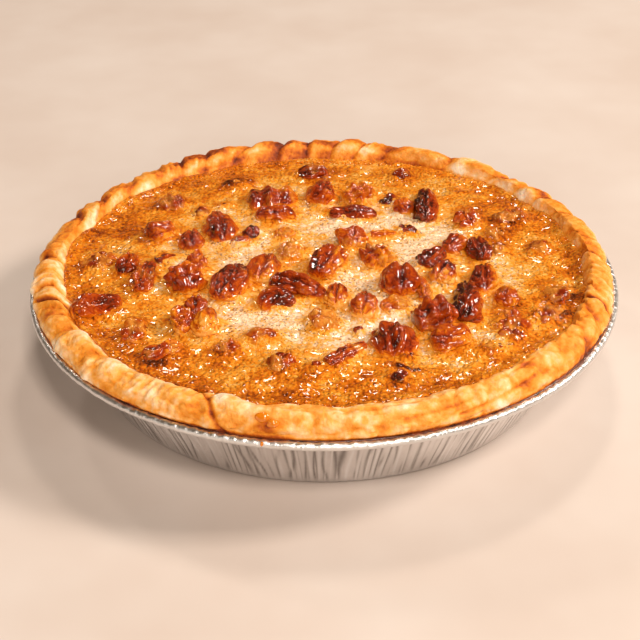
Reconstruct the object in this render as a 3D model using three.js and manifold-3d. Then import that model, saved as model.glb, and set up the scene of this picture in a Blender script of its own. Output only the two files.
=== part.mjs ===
// A whole baked pecan pie in its own deep foil tin, in millimetres.
// The origin is the centre of the tin's underside, with +Z up and the front of the pie towards -Y.
// The solids are the foil tin, the pastry with its crimped rope edge, the custard filling,
// and every pecan piece that stands out of the custard.

import * as THREE from 'three';
import Module from 'manifold-3d';

// Driving dimensions of the tin
const RIM_RADIUS = 121;
const RIM_HEIGHT = 36;
const BASE_RADIUS = 96;
const BASE_CORNER = 1.4;
const FOIL = 0.5;
const FLANGE_WIDTH = 6.4;
const BEAD_RADIUS = 0.9;
const PLEATS = 60;
const PLEAT_DEPTH = 0.3;
const FLANGE_CRIMP = 0.2;

// Driving dimensions of the pastry
const GAP = 0.3;
const PASTRY_FLOOR = 4;
const PASTRY_WALL = 4.6;
const ROPE_CREST = 8.8;
const ROPE_HALF_WIDTH = 8;
const ROPE_OUTER_RADIUS = 118.2;
const ROPE_FRONT_INSET = 1.4;
const ROPE_FOOT_RADIUS = 100.6;
const ROPE_SIDE_NARROWING = 4;
const ROPE_SLUMP = 1.6;
const ROPE_SLUMP_ANGLE = 0.75;
const ROPE_BULGE = 3.6;
const ROPE_UNDERSIDE = 0.8;
const RIDGES = 40;
const RIDGE_DEPTH = 1.9;
const RIDGE_SLANT = -0.5;
const RIDGE_RISE = 0.7;
const SCALLOP_DEPTH = 1.6;

// Driving dimensions of the filling, whose level is measured from the rim's top
const FILLING_RADIUS = 100.3;
const FILLING_LEVEL = 3;
const FILLING_SWELL = 0.7;
const FILLING_LUMP = 0.4;

// Steps round the pie, and along a pecan and round it
const TIN_STEPS = 2 * PLEATS;
const PASTRY_STEPS = 160;
const FILLING_STEPS = 56;
const PECAN_RINGS = 4;
const PECAN_STEPS = 12;
const CUT_TOLERANCE = 0.12;

const ROPE_TOP = RIM_HEIGHT + ROPE_CREST;
const FILLING_TOP = RIM_HEIGHT + FILLING_LEVEL;
const WALL_TOP_RADIUS = RIM_RADIUS - FLANGE_WIDTH - 2 * BEAD_RADIUS;

const wasm = await Module();
wasm.setup();

const blend = (from, to, share) => from + (to - from) * share;

// A closed body from stacked rings between two poles. Each ring runs anticlockwise seen from above,
// and the rings run from the underside's middle outwards, up and back in to the top's middle.
function ringedBody(firstPole, rings, lastPole) {
  const steps = rings[0].length;
  const points = [firstPole, ...rings.flat(), lastPole];
  const last = points.length - 1;
  const at = (ring, step) => 1 + ring * steps + (step % steps);
  const faces = [];
  for (let step = 0; step < steps; step += 1) {
    faces.push(0, at(0, step + 1), at(0, step));
    for (let ring = 0; ring < rings.length - 1; ring += 1) {
      faces.push(at(ring, step), at(ring, step + 1), at(ring + 1, step + 1));
      faces.push(at(ring, step), at(ring + 1, step + 1), at(ring + 1, step));
    }
    faces.push(last, at(rings.length - 1, step), at(rings.length - 1, step + 1));
  }
  const geometry = new THREE.BufferGeometry();
  geometry.setAttribute('position', new THREE.Float32BufferAttribute(points.flat(), 3));
  geometry.setIndex(faces);
  return geometry;
}

// One ring whose radius and height are functions of the angle
function ringAround(steps, radiusAt, heightAt) {
  return Array.from({ length: steps }, (_, step) => {
    const angle = (step / steps) * 2 * Math.PI;
    const radius = radiusAt(angle, step);
    return [radius * Math.cos(angle), radius * Math.sin(angle), heightAt(angle, step)];
  });
}

// Foil tin: a pleated wall that leans out to a flat crimped flange with a rolled bead
const pleatAt = (step) => (step % 2 ? PLEAT_DEPTH : -PLEAT_DEPTH);
const crimpAt = (angle) => FLANGE_CRIMP * Math.sin(31 * angle) * Math.sin(7 * angle + 1);

function tinRing(radius, height, pleated = 0, crimped = 0) {
  return ringAround(
    TIN_STEPS,
    (angle, step) => radius + pleated * pleatAt(step),
    (angle) => height + crimped * crimpAt(angle),
  );
}

function foilTin() {
  const flangeUnder = RIM_HEIGHT - FOIL;
  const beadMiddle = RIM_RADIUS - BEAD_RADIUS;
  const rings = [
    tinRing(BASE_RADIUS - BASE_CORNER, 0),
    tinRing(BASE_RADIUS, BASE_CORNER, 1),
    tinRing(WALL_TOP_RADIUS, flangeUnder, 1),
    tinRing(beadMiddle - BEAD_RADIUS, flangeUnder, 0, 1),
    tinRing(beadMiddle, RIM_HEIGHT - 2 * BEAD_RADIUS),
    tinRing(RIM_RADIUS, RIM_HEIGHT - BEAD_RADIUS),
    tinRing(beadMiddle, RIM_HEIGHT),
    tinRing(beadMiddle - BEAD_RADIUS, RIM_HEIGHT, 0, 1),
    tinRing(WALL_TOP_RADIUS - FOIL, RIM_HEIGHT, 1),
    tinRing(BASE_RADIUS - FOIL, BASE_CORNER + FOIL, 1),
    tinRing(BASE_RADIUS - BASE_CORNER - FOIL, FOIL),
  ];
  return ringedBody([0, 0, 0], rings, [0, 0, FOIL]);
}

// Pastry: a floor and wall inside the tin, and a rope edge on its flange. The share runs from 0 at
// the rope's outer foot over the crest at a half to 1 at its inner foot on the custard.
const frontShare = (angle) => Math.max(0, -Math.sin(angle)) ** 2;

// The rope is crimped into slanting ridges that swell slowly and end in a sharp crease.
// They wander in spacing, and lie nearly flat along the front. Swell and crease share one turn.
function ridgeAt(angle, share) {
  const wander = 0.34 * Math.sin(3 * angle + 0.6) + 0.2 * Math.sin(7 * angle + 2.1);
  const phase = (RIDGES * angle) / (2 * Math.PI) + wander + RIDGE_SLANT * share;
  const turn = phase - Math.floor(phase);
  const rise = RIDGE_RISE;
  const swell = turn < rise
    ? 0.5 - 0.5 * Math.cos((Math.PI * turn) / rise)
    : 0.5 + 0.5 * Math.cos((Math.PI * (turn - rise)) / (1 - rise));
  const depth = RIDGE_DEPTH * (1 - 0.72 * frontShare(angle));
  const fade = Math.sin(Math.PI * Math.min(1, 0.12 + 0.9 * share)) ** 0.6;
  return depth * (swell - RIDGE_RISE) * fade;
}

function ropePoint(angle, share) {
  const slump = ROPE_SLUMP * Math.max(0, Math.cos(angle - ROPE_SLUMP_ANGLE)) ** 4;
  const outer = ROPE_OUTER_RADIUS - ROPE_FRONT_INSET * frontShare(angle) - slump;
  const crestRadius = outer - ROPE_HALF_WIDTH;
  const crest = ROPE_TOP - 0.5 + 0.5 * Math.sin(2 * angle + 0.9) * Math.cos(5 * angle);
  const foot = FILLING_TOP + 2 * GAP;
  const scallop = SCALLOP_DEPTH * (0.5 + 0.5 * Math.sin(17 * angle + 2 * Math.sin(3 * angle)));
  const footRadius = ROPE_FOOT_RADIUS + ROPE_SIDE_NARROWING * Math.cos(angle) ** 2 + scallop;
  if (share < 0.5) {
    const middle = RIM_HEIGHT + ROPE_BULGE;
    const lean = blend(-0.4, Math.PI / 2, share / 0.5);
    const reach = ROPE_HALF_WIDTH * Math.cos(lean);
    return [crestRadius + reach, middle + (crest - middle) * Math.sin(lean)];
  }
  const inward = (share - 0.5) / 0.5;
  const radius = blend(crestRadius, footRadius, inward);
  return [radius, blend(foot, crest, 0.5 + 0.5 * Math.cos(Math.PI * inward))];
}

// The ridges push out from the rope's own middle line, and fade out at both feet
function ropeRing(share) {
  const pushed = (angle) => {
    const [radius, height] = ropePoint(angle, share);
    const outwards = Math.cos(Math.PI * Math.min(1, share * 1.4));
    const ridge = ridgeAt(angle, share);
    return [radius + ridge * Math.max(0, outwards), height + ridge * (share > 0.1 ? 0.9 : 0)];
  };
  return ringAround(PASTRY_STEPS, (angle) => pushed(angle)[0], (angle) => pushed(angle)[1]);
}

function pastryRing(radius, height) {
  return ringAround(PASTRY_STEPS, () => radius, () => height);
}

function pastry() {
  const clearance = FOIL + PLEAT_DEPTH + GAP;
  const floor = FOIL + GAP;
  const underside = RIM_HEIGHT + ROPE_UNDERSIDE;
  const wallTopRadius = WALL_TOP_RADIUS - clearance;
  const shares = [0, 0.2, 0.38, 0.54, 0.76, 1];
  const insideTop = FILLING_TOP + GAP;
  const insideFloor = floor + PASTRY_FLOOR;
  const rings = [
    pastryRing(BASE_RADIUS - BASE_CORNER - clearance, floor),
    pastryRing(BASE_RADIUS - clearance, floor + BASE_CORNER),
    pastryRing(wallTopRadius, underside),
    ...shares.map(ropeRing),
    pastryRing(ROPE_FOOT_RADIUS, insideTop),
    pastryRing(BASE_RADIUS - clearance - PASTRY_WALL, insideFloor),
  ];
  return ringedBody([0, 0, floor], rings, [0, 0, insideFloor]);
}

// Custard: a low dome with shallow lumps, quite level where it meets the rope
function fillingHeight(x, y) {
  const share = Math.min(1, Math.hypot(x, y) / (FILLING_RADIUS - 4));
  const level = Math.sqrt(Math.max(0, 1 - share ** 4));
  const lumps = Math.sin(x / 9 + 1.3) * Math.cos(y / 11) + Math.sin((x + y) / 17);
  return FILLING_TOP + level * (FILLING_SWELL + FILLING_LUMP * lumps);
}

const FILLING_RINGS = [FILLING_RADIUS, 96, 82, 64, 44, 22];

function fillingTopRings(lift) {
  const ring = (radius) => ringAround(
    FILLING_STEPS,
    () => radius,
    (angle) => lift + fillingHeight(radius * Math.cos(angle), radius * Math.sin(angle)),
  );
  return FILLING_RINGS.map(ring);
}

function filling() {
  const floor = FOIL + GAP + PASTRY_FLOOR + GAP;
  const floorRadius = BASE_RADIUS - FOIL - PLEAT_DEPTH - GAP - PASTRY_WALL - 2 * GAP;
  const rings = [
    ringAround(FILLING_STEPS, () => floorRadius, () => floor),
    ...fillingTopRings(0),
  ];
  return ringedBody([0, 0, floor], rings, [0, 0, fillingHeight(0, 0)]);
}

// The same surface one gap higher, over a deep block: it cuts each pecan to stand on the custard
function custardCutter() {
  const depth = FILLING_TOP - 20;
  const rings = [
    ringAround(FILLING_STEPS, () => FILLING_RADIUS, () => depth),
    ...fillingTopRings(GAP),
  ];
  return ringedBody([0, 0, depth], rings, [0, 0, GAP + fillingHeight(0, 0)]);
}

// Pecans. Each kind says how deep the middle groove is, how many lobes lie across the piece and
// how deep the dips between them are, how much one end narrows, and how blunt the ends are.
const KINDS = {
  half: { groove: 0.34, lobes: 0, dip: 0, taper: 0.22, blunt: 0.85 },
  ribbed: { groove: 0.26, lobes: 1, dip: 0.06, taper: 0.08, blunt: 0.6 },
  lobed: { groove: 0.12, lobes: 3, dip: 0.16, taper: 0.1, blunt: 0.7 },
  smooth: { groove: 0, lobes: 1, dip: 0.07, taper: 0.18, blunt: 0.85 },
  coated: { groove: 0.08, lobes: 2, dip: 0.1, taper: 0.05, blunt: 0.75 },
  chip: { groove: 0.1, lobes: 2, dip: 0.08, taper: 0.12, blunt: 0.5 },
};

// Every piece by kind, middle x and y, length, width, height over the custard, and the turn of its
// length from +X in degrees. A piece that lies on its neighbour comes before it.
const PECANS = [
  // the back of the pie
  ['half', -5, 84, 14, 11, 4.5, 0],
  ['smooth', 36, 82, 9, 8, 3, 20],
  ['lobed', -68, 55, 12, 9, 3, 20],
  ['lobed', -23, 55, 22, 15, 6, 5],
  ['smooth', -1, 59, 17, 12.5, 7.5, 80],
  ['lobed', 16, 57, 15, 12, 8, 30],
  ['half', 45, 48, 25, 10, 7, 86],
  ['lobed', 35.5, 49, 13, 8, 4, 95],
  ['chip', 13, 43.5, 20, 9, 3.5, -5],
  ['lobed', 63, 37, 13, 11, 4.5, 100],
  ['lobed', 82, 38, 15, 11, 3.5, 20],
  ['half', -21, 39.5, 17, 10.5, 4.5, -5],
  ['half', -45, 30, 24, 12, 6, 103],
  ['smooth', -31, 25, 8, 7, 3.5, 60],
  // the middle, from left to right
  ['lobed', -93, 0, 15, 11, 3.5, 60],
  ['half', -81, -3, 15, 9, 5, 85],
  ['ribbed', -73, -14, 22, 9, 5, 85],
  ['smooth', -70, 25, 13, 12, 6, 30],
  ['half', -56, 17, 13, 10, 5.5, 95],
  ['smooth', -52.5, -5.5, 9, 8, 7.5, 60],
  ['lobed', -56, -18, 16, 13, 7.5, 110],
  ['ribbed', -37.5, -20, 24, 12, 7, 72],
  ['half', -25, -6, 20, 13, 6, 80],
  ['coated', -14, 10, 12, 10, 4, 60],
  ['half', -10, -22, 26, 12, 6, -33],
  ['smooth', -19, -32, 15, 12, 5, 10],
  ['ribbed', 2, -3, 21, 13, 6.5, 70],
  ['lobed', 12.5, 17, 12, 11, 5.5, 80],
  ['lobed', 22, 1, 13, 12, 5.5, 30],
  ['half', 31, -19, 18, 17, 7.5, 88],
  ['half', 45, 0, 15, 10, 5.5, 50],
  ['half', 48.5, -14, 13, 10, 6.5, 60],
  ['smooth', 55, 12, 13, 10, 5, 60],
  ['ribbed', 65, 7, 15, 9, 6, 95],
  ['half', 65, -17, 18, 10, 6, 88],
  ['smooth', 72, -31, 12, 9, 5, 95],
  // the front, from left to right
  ['ribbed', -90, -35, 20, 14, 5.5, 20],
  ['lobed', -73, -53, 15, 9, 4, 80],
  ['ribbed', -61, -68, 15, 9, 3.5, 30],
  ['half', -50, -42, 11, 9, 8.5, 90],
  ['smooth', -55, -49, 14, 8, 7, 100],
  ['smooth', -45.5, -50, 15, 9, 6.5, 75],
  ['coated', -24, -57, 12, 9, 3, 0],
  ['coated', 0, -47, 15, 14, 4, 90],
  ['half', 5, -29, 13, 9, 6, 85],
  ['half', 16, -37, 16, 10, 6, 80],
  ['coated', 28, -36, 12, 10, 3.5, 20],
  ['chip', 40, -28, 10, 5, 4, 85],
  ['ribbed', 56, -37, 25, 11, 8, 86],
  ['lobed', 43, -48, 17, 15, 8.5, 20],
  ['smooth', 48, -62, 15, 12, 6.5, 15],
  ['ribbed', 26, -62, 18, 17, 6.5, 88],
  ['chip', 8, -71, 19, 6, 3, 42],
  ['lobed', 72, -50, 19, 11, 3.5, 85],
  ['lobed', 94, -27, 12, 11, 3, 60],
  ['lobed', -16, -76, 12, 10, 3, 60],
  ['lobed', -36, -66, 10, 8, 2.5, 20],
];

// A pecan is a fat oval along its length. The groove sinks its back along the middle, and the lobes
// swell and pinch it in turn. It reaches as far down as it is wide, so that its foot is sunk.
function pecanBody([kind, x, y, length, width, height, turn], seed, grow) {
  const { groove, lobes, dip, taper, blunt } = KINDS[kind];
  const halfHeight = Math.max(0.75 * height, 0.4 * width);
  const top = fillingHeight(x, y) + height;
  const point = (along, round) => {
    const girth = Math.sqrt(Math.max(0, 1 - along * along)) ** blunt;
    const knobs = 0.05 * Math.sin(3 * round + seed);
    const pinch = 1 - dip * Math.cos(lobes * Math.PI * along + seed) - knobs;
    const across = Math.cos(round);
    const up = Math.sin(round);
    const sunk = up > 0 ? 1 - groove * Math.exp(-((across / 0.3) ** 2)) : 1;
    return [
      along * (length / 2 + grow),
      across * girth * pinch * (1 - taper * along) * (width / 2 + grow),
      up * girth * pinch * sunk * (halfHeight + grow),
    ];
  };
  const rings = Array.from({ length: PECAN_RINGS }, (_, ring) => {
    const along = -Math.cos((Math.PI * (ring + 1)) / (PECAN_RINGS + 1));
    return Array.from(
      { length: PECAN_STEPS },
      (__, step) => point(along, (2 * Math.PI * step) / PECAN_STEPS),
    );
  });
  const geometry = ringedBody([-length / 2 - grow, 0, 0], rings, [length / 2 + grow, 0, 0]);
  geometry.rotateZ(THREE.MathUtils.degToRad(turn));
  geometry.translate(x, y, top - halfHeight);
  return geometry;
}

// Geometry to solid and back, for the cuts between a pecan, the custard and its neighbours
function toSolid(geometry) {
  const vertProperties = new Float32Array(geometry.attributes.position.array);
  const triVerts = new Uint32Array(geometry.index.array);
  return new wasm.Manifold(new wasm.Mesh({ numProp: 3, vertProperties, triVerts }));
}

function toGeometry(solid) {
  const { vertProperties, triVerts } = solid.getMesh();
  const geometry = new THREE.BufferGeometry();
  geometry.setAttribute('position', new THREE.Float32BufferAttribute(vertProperties, 3));
  geometry.setIndex(Array.from(triVerts));
  return geometry;
}

const largestOf = (solid) => solid.decompose().sort((a, b) => b.volume() - a.volume())[0];

// The upright column that the rope's foot leaves free
function freeColumn() {
  const radius = ROPE_FOOT_RADIUS - 2 * GAP;
  const ring = (height) => ringAround(FILLING_STEPS, () => radius, () => height);
  return ringedBody([0, 0, 0], [ring(0), ring(2 * ROPE_TOP)], [0, 0, 2 * ROPE_TOP]);
}

// The pecans in order: each is cut by the custard, and by the grown shape of any earlier neighbour
function pecans() {
  const custard = toSolid(custardCutter());
  const column = toSolid(freeColumn());
  const reach = ([, , , length]) => length / 2 + 1;
  const near = (a, b) => Math.hypot(a[1] - b[1], a[2] - b[2]) < reach(a) + reach(b);
  return PECANS.map((row, index) => {
    let solid = toSolid(pecanBody(row, index, 0)).intersect(column).subtract(custard);
    PECANS.slice(0, index).forEach((earlier, other) => {
      if (near(row, earlier)) {
        solid = solid.subtract(toSolid(pecanBody(earlier, other, GAP)));
      }
    });
    return toGeometry(largestOf(solid).simplify(CUT_TOLERANCE));
  });
}

const foil = new THREE.MeshStandardMaterial({ color: '#c9c1ba', roughness: 0.3, metalness: 1 });
const bakedPastry = new THREE.MeshStandardMaterial({ color: '#f0b263', roughness: 0.62, metalness: 0 });
const bakedCustard = new THREE.MeshStandardMaterial({ color: '#dd9a48', roughness: 0.45, metalness: 0 });
const glazedPecan = new THREE.MeshStandardMaterial({ color: '#7a2f14', roughness: 0.3, metalness: 0 });

function named(name, geometry, material) {
  const mesh = new THREE.Mesh(geometry, material);
  mesh.name = name;
  return mesh;
}

const pie = new THREE.Group();
pie.name = 'pecan_pie';
pie.add(named('foil_tin', foilTin(), foil));
pie.add(named('pastry_crust', pastry(), bakedPastry));
pie.add(named('custard_filling', filling(), bakedCustard));
pecans().forEach((geometry, index) => {
  pie.add(named(`pecan_${String(index + 1).padStart(2, '0')}`, geometry, glazedPecan));
});

export default pie;
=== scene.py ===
# %% [markdown]
# # A pecan pie in its foil tin
# The pie is a deep foil tin, a pastry case with a pinched rope edge, a custard filling that has
# baked brown from the edge inwards, and 57 pieces of pecan and 21 smaller bits stuck in it.
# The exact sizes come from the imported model, which loads first and never moves. The tin, the
# pastry, the custard and each large nut are finer skins over its solids, so they have to stay where
# those are. Bits of nut and syrup that are too small to be solids are added.

# %% Load the frame
import math

import bpy
import numpy as np
from mathutils import Matrix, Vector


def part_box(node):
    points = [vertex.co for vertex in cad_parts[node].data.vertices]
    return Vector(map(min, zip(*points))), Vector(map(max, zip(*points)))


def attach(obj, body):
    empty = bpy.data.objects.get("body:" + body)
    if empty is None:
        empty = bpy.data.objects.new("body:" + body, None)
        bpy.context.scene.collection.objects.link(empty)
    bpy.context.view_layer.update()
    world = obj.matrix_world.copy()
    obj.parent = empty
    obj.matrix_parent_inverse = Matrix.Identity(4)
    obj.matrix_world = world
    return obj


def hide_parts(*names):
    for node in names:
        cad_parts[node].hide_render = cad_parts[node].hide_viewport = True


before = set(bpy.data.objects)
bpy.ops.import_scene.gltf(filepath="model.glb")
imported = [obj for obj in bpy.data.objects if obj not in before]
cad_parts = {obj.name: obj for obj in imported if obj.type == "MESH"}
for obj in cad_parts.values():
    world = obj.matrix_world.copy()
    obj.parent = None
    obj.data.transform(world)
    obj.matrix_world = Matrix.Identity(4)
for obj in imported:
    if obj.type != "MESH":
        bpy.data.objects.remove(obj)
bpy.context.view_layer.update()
print("CAD nodes:", len(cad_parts))

# %% [markdown]
# ## Sizes
# A baker measures a pie in millimetres, and Blender counts in metres. All shapes here are worked
# out in millimetres and turned to metres once, where the mesh is made. The tin's own box gives the
# radius of its rim. Most other dimensions are those of the solids. The bead, the slant of the
# ridges and the rope's front differ a little from theirs, to look more like the real thing.

# %% Driving dimensions in millimetres
MM = 0.001
tin_low, tin_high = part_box("foil_tin")
RIM_RADIUS = (tin_high.x - tin_low.x) / 2 / MM
RIM_HEIGHT = 36.0
BASE_RADIUS = 96.0
FOIL = 0.5
FLANGE_WIDTH = 6.4
BEAD_RADIUS = 1.5
SOLID_BEAD_WIDTH = 1.8
WALL_TOP_RADIUS = RIM_RADIUS - FLANGE_WIDTH - SOLID_BEAD_WIDTH
FLANGE_TROUGH = 1.1
ROPE_TOP = RIM_HEIGHT + 8.8
ROPE_HALF_WIDTH = 8.0
ROPE_OUTER_RADIUS = 118.2
ROPE_FOOT_RADIUS = 100.6
ROPE_MIDDLE_RADIUS = 110
ROPE_ACROSS = 31.0
RIDGES = 40
RIDGE_PITCH = 17.6
RIDGE_DEPTH = 1.9
RIDGE_SLANT = -0.65
RIDGE_RISE = 0.7
FILLING_RADIUS = 100.3
FILLING_TOP = RIM_HEIGHT + 3
TURN = 2 * math.pi
print("rim radius", round(RIM_RADIUS, 1), "mm")

# %% [markdown]
# ## Chance that repeats
# Dough, custard and nuts are never regular, so every surface needs noise. Blender's own noise
# lives in shaders and modifiers; here the shapes are arrays, so the noise is an array too.
# Each whole-number cell of space gets a steady random number from its own coordinates, and a
# point blends the eight corners of its cell. The same seed gives the same pie on every run.

# %% Noise on arrays of points
def random_at(cells, seed):
    """A steady random number from 0 to 1 for each cell: its three numbers times large odd
    numbers are added to the seed's, and the sum's bits are folded over twice."""
    mixed = (cells.astype(np.int64) * np.array([73856093, 19349663, 83492791])).sum(-1)
    mixed = (mixed + seed * 26544357) & 0xFFFFFFFF
    mixed = ((mixed ^ (mixed >> 15)) * 2246822519) & 0xFFFFFFFF
    mixed = ((mixed ^ (mixed >> 13)) * 3266489917) & 0xFFFFFFFF
    return ((mixed ^ (mixed >> 16)) & 0xFFFFFF) / 0xFFFFFF


def smooth_step(share):
    """Three times the share squared less twice its cube, after the share is kept in 0 to 1."""
    share = np.clip(share, 0, 1)
    return share * share * (3 - 2 * share)


TILT = np.array([[0.0, 0.8, 0.6], [-0.8, 0.36, -0.48], [-0.6, -0.48, 0.64]])


def noise(places, size, seed, octaves=1):
    """Smooth noise from -1 to 1 with lumps of about the given size. Each octave blends the random
    numbers of a cell's eight corners, and the next one is half as large and half as strong. The
    cells are tilted by a fixed turn, so that no row of them lies along a surface."""
    total, strength = 0.0, 0.0
    for octave in range(octaves):
        places = places @ TILT
        scaled = places / size * 2**octave
        corner = np.floor(scaled)
        share = smooth_step(scaled - corner)
        value = 0.0
        for step in np.ndindex(2, 2, 2):
            weight = np.where(np.array(step) == 1, share, 1 - share).prod(-1)
            value = value + weight * random_at(corner + np.array(step), seed + octave)
        total = total + (2 * value - 1) * 0.5**octave
        strength += 0.5**octave
    return total / strength


sample = noise(np.random.default_rng(1).uniform(0, 50, (1000, 3)), 4, 7, 3)
print("noise runs from", sample.min().round(2), "to", sample.max().round(2))

# %% [markdown]
# ## Round pieces from stacked rings
# The tin, the pastry and each nut are closed round a line, so one function can make them all.
# It takes rows of rings, joins neighbours with four-sided faces, and closes each end on a pole.
# A spin of an outline would be quicker to write, but it could not carry pleats or pinches.

# %% Meshes from rings
def closed_faces(rows, steps):
    """Quads between neighbouring rings and triangles to the two poles. Rings are numbered from 1,
    the first pole is 0 and the last pole comes after every ring."""
    step = np.arange(steps)
    following = (step + 1) % steps
    ring = (1 + np.arange(rows) * steps)[:, None]
    lower, upper = ring[:-1], ring[1:]
    sides = [lower + step, lower + following, upper + following, upper + step]
    quads = np.stack(sides, -1).reshape(-1, 4)
    last = 1 + rows * steps
    zero = np.zeros_like(step)
    bottom = np.stack([zero, 1 + following, 1 + step], -1)
    top = np.stack([zero + last, ring[-1] + step, ring[-1] + following], -1)
    return quads, np.concatenate([bottom, top])


def new_piece(name, points, faces):
    """A smooth-shaded object from points in millimetres, with its place in its mesh."""
    mesh = bpy.data.meshes.new(name)
    mesh.from_pydata((points * MM).tolist(), [], faces)
    mesh.shade_smooth()
    piece = bpy.data.objects.new(name, mesh)
    bpy.context.scene.collection.objects.link(piece)
    return piece


def paint(piece, **fields):
    """Keeps one number for each point under each name, for a material to read."""
    for name, values in fields.items():
        layer = piece.data.attributes.new(name, "FLOAT", "POINT")
        layer.data.foreach_set("value", np.asarray(values, dtype=np.float32))
    return piece


def ringed_points(rings):
    """All rings in order between two poles, which are the middles of the first and last ring."""
    first, last = rings[0].mean(0), rings[-1].mean(0)
    return np.concatenate([first[None], rings.reshape(-1, 3), last[None]])


def with_poles(field):
    """A field on the rings, with the mean of the end rings added for the two poles."""
    return np.concatenate([[field[0].mean()], field.ravel(), [field[-1].mean()]])


def ringed_piece(name, rings):
    """A closed piece from an array of rings, each anticlockwise as seen from above."""
    quads, triangles = closed_faces(len(rings), rings.shape[1])
    return new_piece(name, ringed_points(rings), quads.tolist() + triangles.tolist())


def displaced(rings, push):
    """The rings moved along their own normals. A normal is the cross product of the way round
    and the way up, and the push is in millimetres."""
    around = np.roll(rings, -1, 1) - np.roll(rings, 1, 1)
    upwards = np.gradient(rings, axis=0)
    normal = np.cross(around, upwards)
    normal /= np.linalg.norm(normal, axis=-1, keepdims=True) + 1e-9
    return rings + normal * push[..., None]


# %% [markdown]
# ## Materials from nodes
# Every finish starts from a Principled shader. Nodes are verbose in Python, so one function adds
# a node, sets its options, and fills or links its sockets. Colours are written as the sRGB hex
# values an eye would name on a screen, and turned to linear light before a shader gets them.

# %% Colours and nodes
def linear(hex_colour):
    """sRGB hex to linear: a channel over 0.04045 is raised to 2.4 after its offset is taken in."""
    channels = [int(hex_colour[i:i + 2], 16) / 255 for i in (1, 3, 5)]
    straight = [c / 12.92 if c <= 0.04045 else ((c + 0.055) / 1.055) ** 2.4 for c in channels]
    return (*straight, 1.0)


def add(tree, kind, sockets=None, stops=None, **settings):
    """Adds a node. Settings are its options, and sockets maps an input to a value or to the output
    that is linked to it. Stops are a ramp's places and colours: its two ends, then those between."""
    made = tree.nodes.new("ShaderNode" + kind)
    for option, value in settings.items():
        setattr(made, option, value)
    for place, (at, colour) in enumerate(stops or []):
        ramp = made.color_ramp.elements
        stop = ramp[place] if place < 2 else ramp.new(at)
        stop.position, stop.color = at, linear(colour)
    for socket, value in (sockets or {}).items():
        if isinstance(value, bpy.types.NodeSocket):
            tree.links.new(value, made.inputs[socket])
        else:
            made.inputs[socket].default_value = value
    return made


def new_material(name):
    """An empty node material and its tree, with only an output."""
    material = bpy.data.materials.new(name)
    material.use_nodes = True
    material.node_tree.nodes.clear()
    return material, material.node_tree


def finish_with(tree, shader):
    """Joins the last shader to the material's output."""
    add(tree, "OutputMaterial", {"Surface": shader.outputs[0]})


# %% [markdown]
# ## The foil tin
# A foil tin is stamped from a flat sheet about a tenth of a millimetre thick. The spare metal
# round the wall folds into hundreds of upright pleats that wander, fork and stop. The edge is
# pressed to a flat flange with small crimps and rolled into a bead, so that it can't cut.
# A bump map alone would leave the outline smooth, so the pleats are real relief. A plain sine would
# look machined, so a pleat is a thin line where a sine passes through 0, and noise makes its phase
# wander: such lines lean, meet and end as real folds do.

# %% The tin's profile and pleats
PLEAT_WIDTH = 0.42
PLEAT_RELIEF = 0.26
CRIMPS = 190
TIN_STEPS = 2300
WALL_MIDDLE_RADIUS = 108
BEAD_MIDDLE = RIM_RADIUS - BEAD_RADIUS
FLANGE_UNDER = RIM_HEIGHT - FOIL


def tin_profile():
    """Radius and height down the middle of the foil: out along the underside, up the wall, out
    under the flange, round the bead by a circle, and back in over the flange, which is pressed to
    a shallow trough, and down."""
    wall = np.linspace(0, 1, 16)
    outer_wall = np.stack([BASE_RADIUS + (WALL_TOP_RADIUS - BASE_RADIUS) * wall,
                           1.4 + (FLANGE_UNDER - 1.4) * wall], -1)
    roll = np.linspace(-0.5 * math.pi, 0.5 * math.pi, 7)
    bead = np.stack([BEAD_MIDDLE + BEAD_RADIUS * np.cos(roll),
                     RIM_HEIGHT - BEAD_RADIUS + BEAD_RADIUS * np.sin(roll)], -1)
    flange = np.linspace(BEAD_MIDDLE - 0.4, WALL_TOP_RADIUS - FOIL, 7)
    trough = FLANGE_TROUGH * np.sin(np.linspace(0, math.pi, 7)) ** 0.6
    under = np.linspace(WALL_TOP_RADIUS + 0.6, BEAD_MIDDLE - BEAD_RADIUS, 3)
    return np.concatenate([
        [[20, 0], [60, 0], [92, 0], [BASE_RADIUS - 1.4, 0], [BASE_RADIUS - 0.5, 0.5]],
        outer_wall,
        np.stack([under, np.full(3, FLANGE_UNDER - FLANGE_TROUGH - 0.3)], -1),
        bead,
        np.stack([flange, RIM_HEIGHT - trough], -1),
        [[WALL_TOP_RADIUS - 4, 28], [BASE_RADIUS - FOIL, 1.9], [60, FOIL], [20, FOIL]],
    ])


def fold_lines(angle, height, count, seed, drawn):
    """1 on thin upright lines, fading as a bell: the 0 lines of a sine whose phase wanders with
    noise, so that they lean and meet, times a noise that lets each one start and stop. There are
    two lines to each count, and a small number for drawn makes them straight."""
    around = np.stack([WALL_MIDDLE_RADIUS * np.cos(angle) + 0 * height,
                       WALL_MIDDLE_RADIUS * np.sin(angle) + 0 * height,
                       drawn * height + 0 * angle], -1)
    phase = count * angle + 2.6 * noise(around, 7, seed)
    strength = smooth_step(0.65 + 1.2 * noise(around, 4, seed + 2))
    return strength * np.exp(-((np.sin(phase) / PLEAT_WIDTH) ** 2))


def pleat_relief(angle, height):
    """Folds in millimetres: one set of lines stands out as ridges and two sets sink as grooves,
    and all fade out at the wall's foot and top. Also a share from 0 in a groove to 1 on a ridge,
    which the foil's colour uses as painted shade in the grooves and a painted highlight on the ridges."""
    ridge = fold_lines(angle, height, 96, 11, 0.16)
    groove = np.maximum(fold_lines(angle, height, 112, 14, 0.13),
                        fold_lines(angle, height, 71, 17, 0.3))
    up = height / RIM_HEIGHT
    fade = smooth_step(up * 7) * smooth_step((1 - up) * 9)
    push = PLEAT_RELIEF * fade * 0.8 * (ridge - groove)
    return push, np.clip(0.55 + fade * (0.45 * ridge - 0.4 * groove), 0, 1)


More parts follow.
